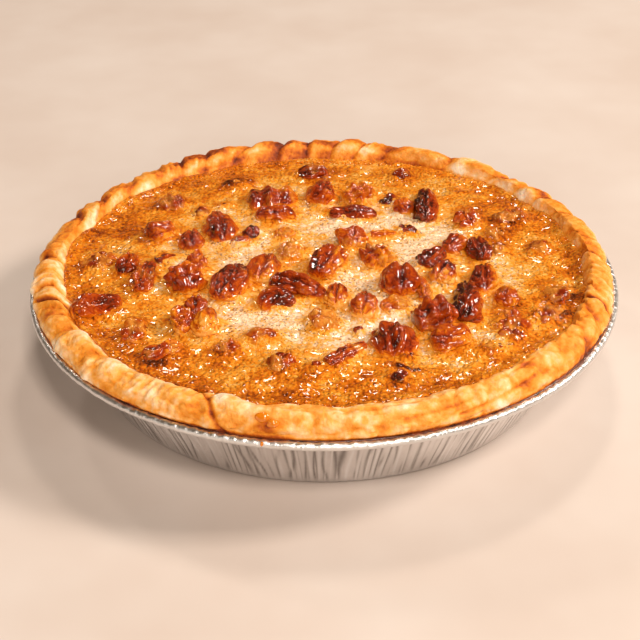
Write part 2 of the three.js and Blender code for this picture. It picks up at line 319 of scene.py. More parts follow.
def crimp_relief(angle, radius, places):
    """Small radial crimps on the flange and bead: a sine round the rim that noise breaks up, plus
    dents of about 3 mm."""
    flat = smooth_step((radius - WALL_TOP_RADIUS - 0.5) / 1.5)
    wave = np.sin(CRIMPS * angle + 3 * noise(places, 22, 21))
    dents = noise(places, 3.2, 22, 2)
    return flat * (0.13 * wave * smooth_step(0.6 + noise(places, 17, 23)) + 0.3 * dents)


angle = np.arange(TIN_STEPS) / TIN_STEPS * TURN
profile = tin_profile()
radius, height = profile[:, :1], profile[:, 1:]
tin_rings = np.stack([radius * np.cos(angle), radius * np.sin(angle), height + 0 * angle], -1)
on_wall = (radius > BASE_RADIUS - 2) & (radius < WALL_TOP_RADIUS + 1) & (height > 0.4)
pleats, raised = pleat_relief(angle, height)
pleats = np.where(on_wall, pleats, 0)
direction = np.stack([np.cos(angle), np.sin(angle), 0 * angle], -1)
tin_rings = tin_rings + pleats[..., None] * direction
on_flange = height > RIM_HEIGHT - 2.5
tin_rings[..., 2] += np.where(on_flange, crimp_relief(angle, radius, tin_rings), 0)
foil_tin = ringed_piece("foil_tin_pleated", tin_rings)
# The fold share goes onto the foil as painted shade in the grooves and a painted highlight on the ridges.
paint(foil_tin, raised=with_poles(np.where(on_wall, raised, 0.8)))
print("tin:", len(foil_tin.data.polygons), "faces")

# %% [markdown]
# ### Bare aluminium foil
# Rolled aluminium foil, left bare. It is bright but not a mirror: rolling leaves fine streaks,
# and baking dulls it in patches. The eye sees soft upright highlights, so the roughness is moderate
# and broken up by stretched noise. The fold share paints shade into the grooves between pleats
# and a paler painted highlight onto the ridges.

# %% Foil material
foil, tree = new_material("bare_aluminium_foil")
where = add(tree, "TexCoord").outputs["Object"]
upright = add(tree, "Mapping", {"Vector": where, "Scale": (1, 1, 0.12)}).outputs[0]
FOIL_STREAK, FOIL_PATCH = 1.4, 26
streaks = add(tree, "TexNoise", {"Vector": upright, "Scale": 1 / (FOIL_STREAK * MM),
                                 "Detail": 3.0}).outputs["Fac"]
patches = add(tree, "TexNoise", {"Vector": where, "Scale": 1 / (FOIL_PATCH * MM),
                                 "Detail": 3.0}).outputs["Fac"]
raised_value = add(tree, "Attribute", attribute_name="raised").outputs["Fac"]
metal_tone = add(tree, "ValToRGB", {"Fac": patches}, stops=[(0.3, "#E8E7E7"), (0.7, "#F8F8F9")])
# Painted shade darkens the grooves, and a painted highlight pales the ridges.
painted_fold_tone = add(tree, "ValToRGB", {"Fac": raised_value},
                stops=[(0.0, "#6A605A"), (1.0, "#FFFFFF"), (0.55, "#F0EDEB")])
folded = add(tree, "Mix", {0: 1.0, 6: metal_tone.outputs[0], 7: painted_fold_tone.outputs[0]},
             data_type="RGBA", blend_type="MULTIPLY")
dulled = add(tree, "MapRange", {"Value": streaks, "From Min": 0.3, "From Max": 0.7,
                                "To Min": 0.3, "To Max": 0.5})
wrinkle = add(tree, "Bump", {"Height": streaks, "Strength": 0.9, "Distance": 0.4 * MM})
finish_with(tree, add(tree, "BsdfPrincipled", {
    "Base Color": folded.outputs[2], "Metallic": 1.0,
    "Roughness": dulled.outputs[0], "Normal": wrinkle.outputs[0]}))
foil_tin.data.materials.append(foil)
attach(foil_tin, "root")
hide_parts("foil_tin")

# %% [markdown]
# ## The pastry
# The case is short pastry, rolled out, laid in the tin and folded under itself on the flange. The
# baker pinches that double edge between finger and thumb about forty times, which leaves slanting
# lumps with a crease between them. The front was pinched least, so it is a smoother band with
# long splits, and the strip's two ends overlap there. The rope formula starts from the solid's,
# which has plain even ridges, and adds the sag, the bulges and the tongue. The finer relief is then
# pushed out along the surface's normals: the overlap, crack and splits are made only there.

# %% The rope's formula
PASTRY_STEPS = 1440
SAG_OUT = 0.75
SAG_DOWN = 2.0


def front_share(angle):
    """How much of a place is on the front: the square of minus the sine, none at the back."""
    return np.maximum(0, -np.sin(angle)) ** 2


def ridge_phase(angle, share):
    """The count of pinches passed on the way round, with a wandering pace and a slant."""
    wander = 0.34 * np.sin(3 * angle + 0.6) + 0.2 * np.sin(7 * angle + 2.1)
    return RIDGES * angle / TURN + wander + RIDGE_SLANT * share


def hump(angle, degrees, reach):
    """1 at one place on the way round, fading as a bell over a reach in radians."""
    return np.exp(-(((np.mod(angle, TURN) - math.radians(degrees)) / reach) ** 2))


def rope_point(angle, share):
    """Radius and height of the rope without its ridges. Up to a half the share turns round an
    ellipse from the outer foot to the crest, and then runs in to the custard by a cosine. At the
    front and sides the outer foot sags out and down onto the flange. On the left the rope bulges
    out twice, is a little lower, and sends a tongue inwards, where the strip is torn."""
    front = front_share(angle)
    slump = 1.6 * np.maximum(0, np.cos(angle - 0.75)) ** 4
    crest_radius = ROPE_OUTER_RADIUS - 0.6 * front - slump - ROPE_HALF_WIDTH
    sag = smooth_step(0.8 - 1.2 * np.sin(angle)) * np.maximum(0, 1 - 2.6 * share)
    crest = ROPE_TOP - 0.5 + 0.5 * np.sin(2 * angle + 0.9) * np.cos(5 * angle)
    crest = crest - hump(angle, 222, 0.5)
    scallop = 0.8 + 0.8 * np.sin(17 * angle + 2 * np.sin(3 * angle))
    tongue = 4.2 * hump(angle, 199, 0.075)
    foot_radius = ROPE_FOOT_RADIUS + 4 * np.cos(angle) ** 2 + scallop - tongue
    crest_radius = crest_radius + hump(angle, 188, 0.22) + hump(angle, 226, 0.3)
    foot, middle = FILLING_TOP - 0.6, RIM_HEIGHT + 3.6
    lean = -0.4 + (0.5 * math.pi + 0.4) * share / 0.5
    inward = (share - 0.5) / 0.5
    outside = share < 0.5
    radius = np.where(outside, crest_radius + ROPE_HALF_WIDTH * np.cos(lean) + SAG_OUT * sag,
                      crest_radius + (foot_radius - crest_radius) * inward)
    height = np.where(outside, middle + (crest - middle) * np.sin(lean) - SAG_DOWN * sag,
                      foot + (crest - foot) * (0.5 + 0.5 * np.cos(math.pi * inward)))
    return radius, height


# %% [markdown]
# ### Pinches, flakes and splits
# One relief field does all the modelling. Each pinched lump swells slowly and drops into a crease,
# and lumps differ in size because each one takes its own random number from its count. Knuckles of
# noise keep the lumps from looking machined. Flakes are noise drawn out along the rope, and streaks
# are noise drawn out along the pinches. Splits, the crack, the seam where the strip's ends overlap
# and the edge of the tongue at the right are grooves along a named line in angle and share.

# %% Relief of the rope
def each_lump(count, seed):
    """One random number from 0 to 1 for each lump."""
    cells = np.stack([np.mod(count, RIDGES), 0 * count, 0 * count], -1)
    return random_at(cells, seed)


def swelling(turn):
    """A cushion that leans over the next crease: the sine of half a turn, once the share of the
    lump is raised to 1.3, and flattened a little at its top."""
    return np.sin(math.pi * turn**1.3) ** 0.75


def groove(angle, share, start, end, width):
    """1 in a groove that runs straight from one (degrees, share) to another, fading as a bell to
    its sides and its ends. A degree is 1.9 mm round the rope, and a share is its breadth."""
    scale = np.array([1.9, ROPE_ACROSS])
    start, end = np.array(start) * scale, np.array(end) * scale
    along = end - start
    here = np.stack(np.broadcast_arrays(np.degrees(angle) * scale[0], share * scale[1]), -1)
    passed = ((here - start) @ along) / (along @ along)
    away = here - (start + np.clip(passed, 0, 1)[..., None] * along)
    return np.exp(-((np.linalg.norm(away, axis=-1) / width) ** 2))


# Grooves: start and end as (degrees, share), and how deep in millimetres
SPLITS = [
    ((284, 0.27), (297, 0.33), 0.55),
    ((294, 0.17), (311, 0.29), 0.7),
    ((303, 0.42), (314, 0.5), 0.45),
    ((271, 0.5), (279, 0.44), 0.4),
    ((255, 0.62), (262, 0.55), 0.35),
    ((228, 0.45), (240, 0.4), 0.35),
    ((244, 0.3), (250, 0.26), 0.3),
]
CRACK = [((194, 0.14), (197.5, 0.5), 1.8), ((197.5, 0.5), (203.5, 0.98), 2.2)]
SEAM = [((252.5, 0.02), (248.5, 0.45), 1.0), ((248.5, 0.45), (243, 0.92), 1.2)]
TONGUE = [((336, 0.98), (341.5, 0.62), 1.4), ((341.5, 0.62), (340, 0.1), 1.5)]


def rope_relief(angle, share, places):
    """The push in millimetres, and the fields that colour it: the crease field, which holds painted
    shade in the hollows besides the darker glaze there, and the patch and split fields. The whole
    part of the ridge phase names a lump, and the rest of it runs through that lump's swelling.
    the lumps come wrinkles, knuckles, flakes, pillows, streaks and the step where one end of the
    strip lies over the other, and splits and cuts are taken off."""
    phase = ridge_phase(angle, share) + 0.45 * noise(places, 24, 31) + 0.16 * noise(places, 9, 44)
    count = np.floor(phase)
    turn = phase - count
    size = each_lump(count, 32)
    front = front_share(angle)
    fade = np.sin(math.pi * np.clip(0.12 + 0.9 * share, 0, 1)) ** 0.6
    behind = smooth_step(0.5 + 1.2 * np.sin(angle))
    depth = RIDGE_DEPTH * (1 - 0.72 * front) * (1 + 0.25 * behind) * (0.55 + 0.8 * size)
    depth = depth * (1 - 0.35 * smooth_step(2 * np.cos(angle) - 0.9))
    lumps = depth * (swelling(turn) - RIDGE_RISE) * fade
    side = smooth_step(1.5 * np.abs(np.cos(angle)) - 0.3)
    wrinkle = (0.12 + 0.22 * side) * np.sin(3 * TURN * phase + 2 * noise(places, 9, 37))
    lumps = lumps * np.maximum(behind, smooth_step(0.75 + 0.9 * noise(places, 16, 39)))
    lumps = lumps + wrinkle * smooth_step(0.7 + noise(places, 12, 38)) * fade
    lumps = lumps * (1 - 0.45 * smooth_step((share - 0.6) / 0.3))
    # Painted shade: the crease field darkens the hollows between lumps, besides the glaze that ran there.
    crease_glaze_and_shade = np.exp(-((np.minimum(turn, 1 - turn) / 0.1) ** 2)) * fade * (1 - 0.75 * front)
    patch = np.exp(-(((turn - 0.62) / 0.24) ** 2) - ((share - 0.76) / 0.15) ** 2)
    patch = patch * (0.35 + 0.9 * each_lump(count, 33))
    splits = 0.0
    for start, end, strength in SPLITS:
        splits = splits + strength * groove(angle, share, start, end, 0.75)
    cut = 0.0
    for start, end, strength in CRACK + SEAM + TONGUE:
        cut = np.maximum(cut, strength * groove(angle, share, start, end, 1.0))
    knuckles = 1.1 * noise(places, 14, 34, 2) + 0.45 * noise(places, 3.6, 35, 3)
    drawn_out = np.stack([angle * ROPE_MIDDLE_RADIUS / 11 + 0 * share,
                          share * ROPE_ACROSS / 2 + 0 * angle, 0 * phase], -1)
    slanting = np.stack([phase * RIDGE_PITCH / 1.9, share * ROPE_ACROSS / 11 + 0 * angle,
                         0 * phase], -1)
    flakes = 0.8 * noise(drawn_out, 1, 36, 3) * front
    streaks = noise(slanting, 1, 45, 2) * (1 - 0.6 * front)
    between = np.abs(noise(places * [1, 1, 1.5], 8, 40, 2))
    pillows = (1.7 * between**0.75 - 0.6) * (1 - 0.6 * behind)
    step = smooth_step((angle - math.radians(248)) * 40) * np.exp(-((angle - 4.36) / 0.09) ** 2)
    push = lumps + knuckles * (0.55 + 0.45 * fade) + flakes + pillows * fade + 0.9 * step * fade
    push = push + 0.3 * streaks * fade
    # More painted shade in the creases between the pillows.
    crease_glaze_and_shade = crease_glaze_and_shade + 0.3 * np.exp(-((between / 0.05) ** 2)) * fade - 0.6 * streaks
    return push - splits - cut, crease_glaze_and_shade, patch, 0.6 * splits + cut


angle = np.arange(PASTRY_STEPS) / PASTRY_STEPS * TURN
share = np.concatenate([np.linspace(0, 0.1, 6)[:-1], np.linspace(0.1, 1, 52)])[:, None]
radius, height = rope_point(angle, share)
rope = np.stack([radius * np.cos(angle), radius * np.sin(angle), height], -1)
push, crease_glaze_and_shade, patch, cuts = rope_relief(angle, share, rope)
rope_fade = smooth_step(share * 12) * smooth_step((1.05 - share) * 9)
rope = displaced(rope, push * rope_fade)
print("rope relief", push.min().round(1), "to", push.max().round(1), "mm")

# %% [markdown]
# ### The hidden case
# The case's floor and wall are out of sight between the tin and the custard. They need only a few
# rings, but they close the piece, so that it is a solid crust from every side.

# %% Join the rope to its case
def plain_rings(profile, steps):
    """Round rings from pairs of radius and height."""
    angle = np.arange(steps) / steps * TURN
    profile = np.array(profile, dtype=float)
    radius, height = profile[:, :1], profile[:, 1:]
    return np.stack([radius * np.cos(angle), radius * np.sin(angle), height + 0 * angle], -1)


case_outside = plain_rings([(60, 0.9), (93.4, 0.9), (94.8, 2.3), (111.6, 36.9)], PASTRY_STEPS)
case_inside = plain_rings([(99.5, 37.5), (90, 5), (50, 5)], PASTRY_STEPS)
crust_rings = np.concatenate([case_outside, rope, case_inside])
crust = ringed_piece("pastry_crust_pinched", crust_rings)
print("crust:", len(crust.data.polygons), "faces")

# %% [markdown]
# ### How the crust browned, with painted light and shade
# Pastry browns where it is thin, high or near hot metal, and stays pale where it is thick or
# shaded by its neighbour. One number for each point, from 0 pale to 1 dark, says how far that
# went, and it also holds painted light and shade: the crest at the back is browner, creases are
# dark orange where the glaze ran and darker with painted shade, each lump has a cream patch low
# on its inner side, what stands out is painted paler and what sinks darker, the outer side and
# the left are painted paler as light, the scorched outer foot is also painted shade in the gap
# under the rope, and a few named places caught more heat.

# %% Browning of the crust
# degrees, share, spread in degrees, how much browner
BROWNED = [
    (171, 0.4, 7, 0.25), (160, 0.3, 5, 0.45), (147, 0.35, 4, 0.4), (122, 0.42, 6, 0.45),
    (116, 0.5, 3, 0.3), (30, 0.36, 5, 0.45), (42, 0.4, 5, 0.25), (50, 0.44, 4, 0.25),
    (98, 0.4, 5, 0.2), (84, 0.45, 6, 0.2), (18, 0.3, 6, 0.2), (180, 0.32, 4, 0.3),
    (327, 0.12, 6, 0.3), (232, 0.06, 5, 0.35), (260, 0.22, 1.8, 0.3), (336, 0.3, 3, 0.15),
    (202, 0.3, 2, 0.3),
]


def browning_and_painted_light(angle, share, places):
    """The sum of an even tone, noise, the crest's heat, the creases with their painted shade, the
    splits and the named places, less the cream patches, a painted highlight on what stands out
    with painted shade in what sinks, painted light on the outer side and the left, and the paler
    back right. The inner foot is soaked dark, and the outer foot scorched, which is also painted
    shade under the rope."""
    front = front_share(angle)
    tone = 0.4 + 0.2 * noise(places, 11, 41, 2) + 0.17 * noise(places, 4, 42, 3)
    behind = smooth_step(np.sin(angle) * 1.4 + 0.2)
    behind = behind * (0.4 + 0.8 * np.exp(-(((np.degrees(angle) - 100) / 32) ** 2)))
    streaky = 0.6 + 0.9 * noise(places, 9, 43, 2)
    tone = tone + (0.03 + 0.3 * behind * streaky) * np.exp(-(((share - 0.5) / 0.17) ** 2))
    # Creases are darker, as glaze and as painted shade; the cream patches are paler.
    tone = tone + 0.13 * crease_glaze_and_shade - 0.2 * patch * (1 - 0.6 * front)
    left = smooth_step(-1.6 * np.cos(angle) - 0.5)
    right = smooth_step(2.2 * np.cos(angle + 0.45) - 1.1)
    # Painted light: the outer side is made paler against its own shade, and the left where its slopes face
    # the lamp.
    tone = tone - 0.1 * smooth_step((0.32 - share) / 0.2) - 0.12 * left
    tone = tone + 0.14 * right * smooth_step((share - 0.3) / 0.2)
    tone = tone - 0.2 * np.exp(-(((np.degrees(angle) - 42) / 22) ** 2))
    # Painted highlight and shade: what stands out is made paler and what sinks darker.
    tone = tone - 0.13 * np.clip(push, -1.5, 1)
    tone = tone + 0.34 * np.clip(cuts, 0, 1.2)
    tone = tone + front * (0.12 * np.exp(-(((share - 0.17) / 0.13) ** 2))
                           - 0.14 * np.exp(-(((share - 0.62) / 0.22) ** 2))
                           - 0.02 + 0.28 * noise(places * [1, 1, 1.6], 5.5, 47, 3))
    for degrees, middle, spread, strength in BROWNED:
        away = (np.degrees(angle) - degrees) / spread
        tone = tone + strength * np.exp(-(away**2) - ((share - middle) / 0.13) ** 2)
    soaked = smooth_step((share - 0.83 - 0.04 * left + 0.18 * behind) / 0.15)
    # The outer foot is scorched dark, and this is also painted shade in the gap under the rope.
    scorched = smooth_step((0.07 - share) / 0.05)
    return np.clip(tone + 0.34 * soaked + 0.45 * scorched, 0, 1)


bake = browning_and_painted_light(angle, share, rope)
soaked = smooth_step((share - 0.8) / 0.16) + 0 * angle
hidden_below = np.ones((len(case_outside), PASTRY_STEPS))
hidden_above = np.full((len(case_inside), PASTRY_STEPS), 0.5)
bake_field = with_poles(np.concatenate([hidden_below, bake, hidden_above]))
wet_field = with_poles(np.concatenate([0 * hidden_below, soaked, 0 * hidden_above]))
paint(crust, bake=bake_field, wet=wet_field)
print("browning from", bake.min().round(2), "to", bake.max().round(2))

# %% [markdown]
# ### Baked short pastry
# Flour, fat and water, baked golden. It is matt and slightly crumbly, with a sheen only at the
# inner foot, where syrup soaked in. Light sinks a little way in, which keeps its shadows warm. The
# colour comes from the browning number, which also holds painted light and shade, through a ramp;
# the mottling and pores are noise near 2 and 1 mm.

# %% Pastry material
pastry, tree = new_material("baked_short_pastry")
where = add(tree, "TexCoord").outputs["Object"]
bake_value = add(tree, "Attribute", attribute_name="bake").outputs["Fac"]
wet_value = add(tree, "Attribute", attribute_name="wet").outputs["Fac"]
MOTTLE, PORE = 2.2, 0.9
mottle = add(tree, "TexNoise", {"Vector": where, "Scale": 1 / (MOTTLE * MM), "Detail": 4.0})
pores = add(tree, "TexNoise", {"Vector": where, "Scale": 1 / (PORE * MM), "Detail": 2.0})
wobble = add(tree, "MapRange", {"Value": mottle.outputs["Fac"], "From Min": 0.25, "From Max": 0.75,
                                "To Min": -0.13, "To Max": 0.13})
tone = add(tree, "Math", {0: bake_value, 1: wobble.outputs[0]}, operation="ADD", use_clamp=True)
crust_colour = add(tree, "ValToRGB", {"Fac": tone.outputs[0]}, stops=[
    (0.0, "#FFEACE"), (1.0, "#6A270C"), (0.2, "#FAC88E"), (0.38, "#F3A74C"),
    (0.55, "#E48A24"), (0.72, "#C66512"), (0.86, "#9C420D")])
sheen_map = add(tree, "MapRange", {"Value": wet_value, "To Min": 0.5, "To Max": 0.24})
grain = add(tree, "Bump", {"Height": pores.outputs["Fac"], "Strength": 0.8, "Distance": 0.35 * MM})
coarse = add(tree, "Bump", {"Height": mottle.outputs["Fac"], "Strength": 0.8,
                            "Distance": 0.8 * MM, "Normal": grain.outputs[0]})
finish_with(tree, add(tree, "BsdfPrincipled", {
    "Base Color": crust_colour.outputs[0], "Roughness": sheen_map.outputs[0], "IOR": 1.45,
    "Specular IOR Level": 0.25, "Subsurface Weight": 0.12, "Subsurface Radius": (1.0, 0.45, 0.2),
    "Subsurface Scale": 2.0 * MM, "Normal": coarse.outputs[0]}))
crust.data.materials.append(pastry)
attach(crust, "root")
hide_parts("pastry_crust")

# %% [markdown]
# ## The pecans
# A pecan half is a long oval with a groove down its back and wrinkles beside it; broken pieces
# show lobes, ribs and pale flesh. Each piece starts from the same kind, place, length, width,
# height and turn as its solid. Knobs and folds then make it larger than that solid: about a sixth
# wider and 2 mm higher on average, and up to a third and nearly 4 mm. One formula with a few shape
# numbers for each kind gives its form. Further numbers say how it looks: its own tone from 0 black-
# brown to 1 cream, the side painted lighter as painted light and how strongly, and how much
# custard has run over it.

# %% Kinds and places of the pecans
KINDS = {
    "half": dict(groove=0.34, lobes=0, dip=0.0, taper=0.22, blunt=0.85, ribs=7, rib=0.07),
    "ribbed": dict(groove=0.26, lobes=1, dip=0.06, taper=0.08, blunt=0.6, ribs=9, rib=0.13),
    "lobed": dict(groove=0.12, lobes=3, dip=0.16, taper=0.1, blunt=0.7, ribs=5, rib=0.06),
    "smooth": dict(groove=0.0, lobes=1, dip=0.07, taper=0.18, blunt=0.85, ribs=6, rib=0.03),
    "coated": dict(groove=0.08, lobes=2, dip=0.1, taper=0.05, blunt=0.75, ribs=5, rib=0.06),
    "chip": dict(groove=0.1, lobes=2, dip=0.08, taper=0.12, blunt=0.5, ribs=6, rib=0.1),
}
# kind, x, y, length, width, height, turn; then tone, side of the painted light in degrees, its strength,
# custard
PECANS = [
    ("half", -5, 84, 14, 11, 4.5, 0, 0.3, 90, 0.1, 0.2),
    ("smooth", 36, 82, 9, 8, 3, 20, 0.3, 90, 0.1, 0.3),
    ("lobed", -68, 55, 12, 9, 3, 20, 0.33, 60, 0.1, 0.45),
    ("lobed", -23, 55, 22, 15, 6, 5, 0.45, 0, 0.2, 0.2),
    ("smooth", -1, 59, 17, 12.5, 7.5, 80, 0.48, 100, 0.1, 0.0),
    ("lobed", 16, 57, 15, 12, 8, 30, 0.72, 100, 0.25, 0.15),
    ("half", 45, 48, 25, 10, 7, 86, 0.22, 0, 0.25, 0.0),
    ("lobed", 35.5, 49, 13, 8, 4, 95, 0.55, 90, 0.2, 0.2),
    ("chip", 13, 43.5, 20, 9, 3.5, -5, 0.27, 0, 0.0, 0.1),
    ("lobed", 63, 37, 13, 11, 4.5, 100, 0.52, 0, 0.15, 0.3),
    ("lobed", 82, 38, 15, 11, 3.5, 20, 0.38, 0, 0.2, 0.45),
    ("half", -21, 39.5, 17, 10.5, 4.5, -5, 0.42, -80, 0.12, 0.0),
    ("half", -45, 30, 24, 12, 6, 103, 0.43, 60, 0.12, 0.1),
    ("smooth", -31, 25, 8, 7, 3.5, 60, 0.2, 0, 0.0, 0.0),
    ("lobed", -93, 0, 15, 11, 3.5, 60, 0.4, 60, 0.1, 0.5),
    ("half", -81, -3, 15, 9, 5, 85, 0.4, 60, 0.15, 0.2),
    ("ribbed", -73, -14, 22, 9, 5, 85, 0.42, 180, 0.15, 0.35),
    ("smooth", -70, 25, 13, 12, 6, 30, 0.45, -20, 0.2, 0.05),
    ("half", -56, 17, 13, 10, 5.5, 95, 0.42, 60, 0.15, 0.15),
    ("smooth", -52.5, -5.5, 9, 8, 7.5, 60, 0.5, 60, 0.15, 0.0),
    ("lobed", -56, -18, 16, 13, 7.5, 110, 0.5, 70, 0.2, 0.0),
    ("ribbed", -37.5, -20, 24, 12, 7, 72, 0.36, -60, 0.12, 0.0),
    ("half", -25, -6, 20, 13, 6, 80, 0.5, -60, 0.1, 0.05),
    ("coated", -14, 10, 12, 10, 4, 60, 0.75, 0, 0.1, 0.5),
    ("half", -10, -22, 26, 12, 6, -33, 0.4, 40, 0.12, 0.1),
    ("smooth", -19, -32, 15, 12, 5, 10, 0.34, 160, 0.2, 0.15),
    ("ribbed", 2, -3, 21, 13, 6.5, 70, 0.46, 0, 0.25, 0.1),
    ("lobed", 12.5, 17, 12, 11, 5.5, 80, 0.6, 0, 0.1, 0.2),
    ("lobed", 22, 1, 13, 12, 5.5, 30, 0.5, -30, 0.3, 0.2),
    ("half", 31, -19, 18, 17, 7.5, 88, 0.42, 90, 0.1, 0.0),
    ("half", 45, 0, 15, 10, 5.5, 50, 0.28, 0, 0.1, 0.1),
    ("half", 48.5, -14, 13, 10, 6.5, 60, 0.48, -90, 0.3, 0.05),
    ("smooth", 55, 12, 13, 10, 5, 60, 0.42, 0, 0.1, 0.15),
    ("ribbed", 65, 7, 15, 9, 6, 95, 0.26, 90, 0.1, 0.05),
    ("half", 65, -17, 18, 10, 6, 88, 0.45, 0, 0.35, 0.0),
    ("smooth", 72, -31, 12, 9, 5, 95, 0.58, 90, 0.1, 0.0),
    ("ribbed", -90, -35, 20, 14, 5.5, 20, 0.4, 180, 0.1, 0.2),
    ("lobed", -73, -53, 15, 9, 4, 80, 0.5, 120, 0.1, 0.35),
    ("ribbed", -61, -68, 15, 9, 3.5, 30, 0.46, 60, 0.1, 0.3),
    ("half", -50, -42, 11, 9, 8.5, 90, 0.46, 90, 0.1, 0.0),
    ("smooth", -55, -49, 14, 8, 7, 100, 0.6, 180, 0.2, 0.0),
    ("smooth", -45.5, -50, 15, 9, 6.5, 75, 0.62, -60, 0.25, 0.0),
    ("coated", -24, -57, 12, 9, 3, 0, 0.5, 90, 0.1, 0.55),
    ("coated", 0, -47, 15, 14, 4, 90, 0.55, 90, 0.1, 0.55),
    ("half", 5, -29, 13, 9, 6, 85, 0.55, -90, 0.3, 0.1),
    ("half", 16, -37, 16, 10, 6, 80, 0.52, -60, 0.25, 0.1),
    ("coated", 28, -36, 12, 10, 3.5, 20, 0.68, 0, 0.1, 0.5),
    ("chip", 40, -28, 10, 5, 4, 85, 0.62, 0, 0.1, 0.3),
    ("ribbed", 56, -37, 25, 11, 8, 86, 0.24, 0, 0.3, 0.0),
    ("lobed", 43, -48, 17, 15, 8.5, 20, 0.42, 60, 0.1, 0.0),
    ("smooth", 48, -62, 15, 12, 6.5, 15, 0.5, 0, 0.15, 0.0),
    ("ribbed", 26, -62, 18, 17, 6.5, 88, 0.4, 90, 0.08, 0.0),
    ("chip", 8, -71, 19, 6, 3, 42, 0.48, 60, 0.1, 0.2),
    ("lobed", 72, -50, 19, 11, 3.5, 85, 0.46, 90, 0.1, 0.35),
    ("lobed", 94, -27, 12, 11, 3, 60, 0.34, 0, 0.1, 0.5),
    ("lobed", -16, -76, 12, 10, 3, 60, 0.36, 0, 0.1, 0.5),
    ("lobed", -36, -66, 10, 8, 2.5, 20, 0.42, 0, 0.1, 0.55),
]
# Bits too small to be solids, or sunk so far that only a hump shows, in the same columns
BITS = [
    ("chip", 29, 56, 9, 6, 3, 70, 0.2, 60, 0.1, 0.0),
    ("chip", 36, 26, 8, 7, 2.6, 20, 0.18, 0, 0.0, 0.0),
    ("chip", 25, 23, 11, 4, 2.4, 5, 0.75, 90, 0.2, 0.1),
    ("chip", -66, 3, 9, 6, 2.2, 30, 0.3, 0, 0.1, 0.3),
    ("smooth", -54, 46, 7, 7, 2.2, 0, 0.3, 0, 0.1, 0.4),
    ("smooth", -44, 52, 4, 3, 1.4, 0, 0.2, 0, 0.1, 0.0),
    ("chip", -35.5, 19, 8, 6, 2.2, 10, 0.4, 0, 0.2, 0.2),
    ("coated", -16, 24, 9, 8, 2.4, 40, 0.7, 0, 0.1, 0.6),
    ("lobed", 74, 24, 10, 8, 2, 30, 0.4, 0, 0.1, 0.6),
    ("coated", 74, 9, 12, 6, 2.4, 85, 0.62, 0, 0.1, 0.6),
    ("lobed", 91, 12, 11, 9, 2.2, 70, 0.38, 0, 0.1, 0.6),
    ("chip", 63, -66, 9, 6, 1.8, 10, 0.24, 0, 0.1, 0.3),
    ("chip", 27, -85, 7, 6, 2.2, 40, 0.18, 60, 0.2, 0.0),
    ("chip", 29, -79, 6, 2.4, 1.6, -35, 0.1, 0, 0.0, 0.0),
    ("chip", 34, -81, 3, 2, 1.2, 10, 0.1, 0, 0.0, 0.0),
    ("lobed", 88, -43, 14, 10, 2.2, 20, 0.34, 0, 0.1, 0.6),
    ("smooth", -3, -78, 5, 4, 1.6, 0, 0.34, 0, 0.1, 0.2),
    ("chip", -63, -75, 9, 4, 1.4, 15, 0.2, 0, 0.0, 0.2),
    ("coated", -39, 74, 12, 8, 1.8, 10, 0.6, 0, 0.1, 0.6),
    ("smooth", 13, -53, 4, 3.5, 1.8, 0, 0.3, 0, 0.1, 0.0),
    ("smooth", 31, -71, 5, 4, 1.8, 0, 0.12, 0, 0.0, 0.0),
]
print(len(PECANS), "pecans and", len(BITS), "bits")

# %% [markdown]
# ### One formula for every nut
# A nut is a fat oval along its length. The girth shrinks to both ends like a circle, and a blunt
# nut shrinks later. Lobes pinch it across, the groove sinks its back, ribs run lengthwise, and
# noise in two sizes adds knobs and folds. All of it is one array of rings, so the nut takes a few
# lines and no sculpting. Relief also gives tone as painted light and shade: what stands out is
# painted lighter and redder, and what lies in a groove or crease is painted nearly black. One side
# is painted lighter, and the lower front is painted golden, partly as syrup at the foot and partly
# as painted light.

# %% The pecan's shape and tone
FULLER, LONGER, HIGHER = 1.1, 1.06, 0.4
NUT_GRID, BIT_GRID = (64, 80), (22, 28)


def dome(x, y):
    """The custard's level: a low dome that is flat at the rope, with two shallow waves."""
    share = np.minimum(1, np.hypot(x, y) / (FILLING_RADIUS - 4))
    lumps = np.sin(x / 9 + 1.3) * np.cos(y / 11) + np.sin((x + y) / 17)
    return FILLING_TOP + np.sqrt(np.maximum(0, 1 - share**4)) * (0.7 + 0.4 * lumps)


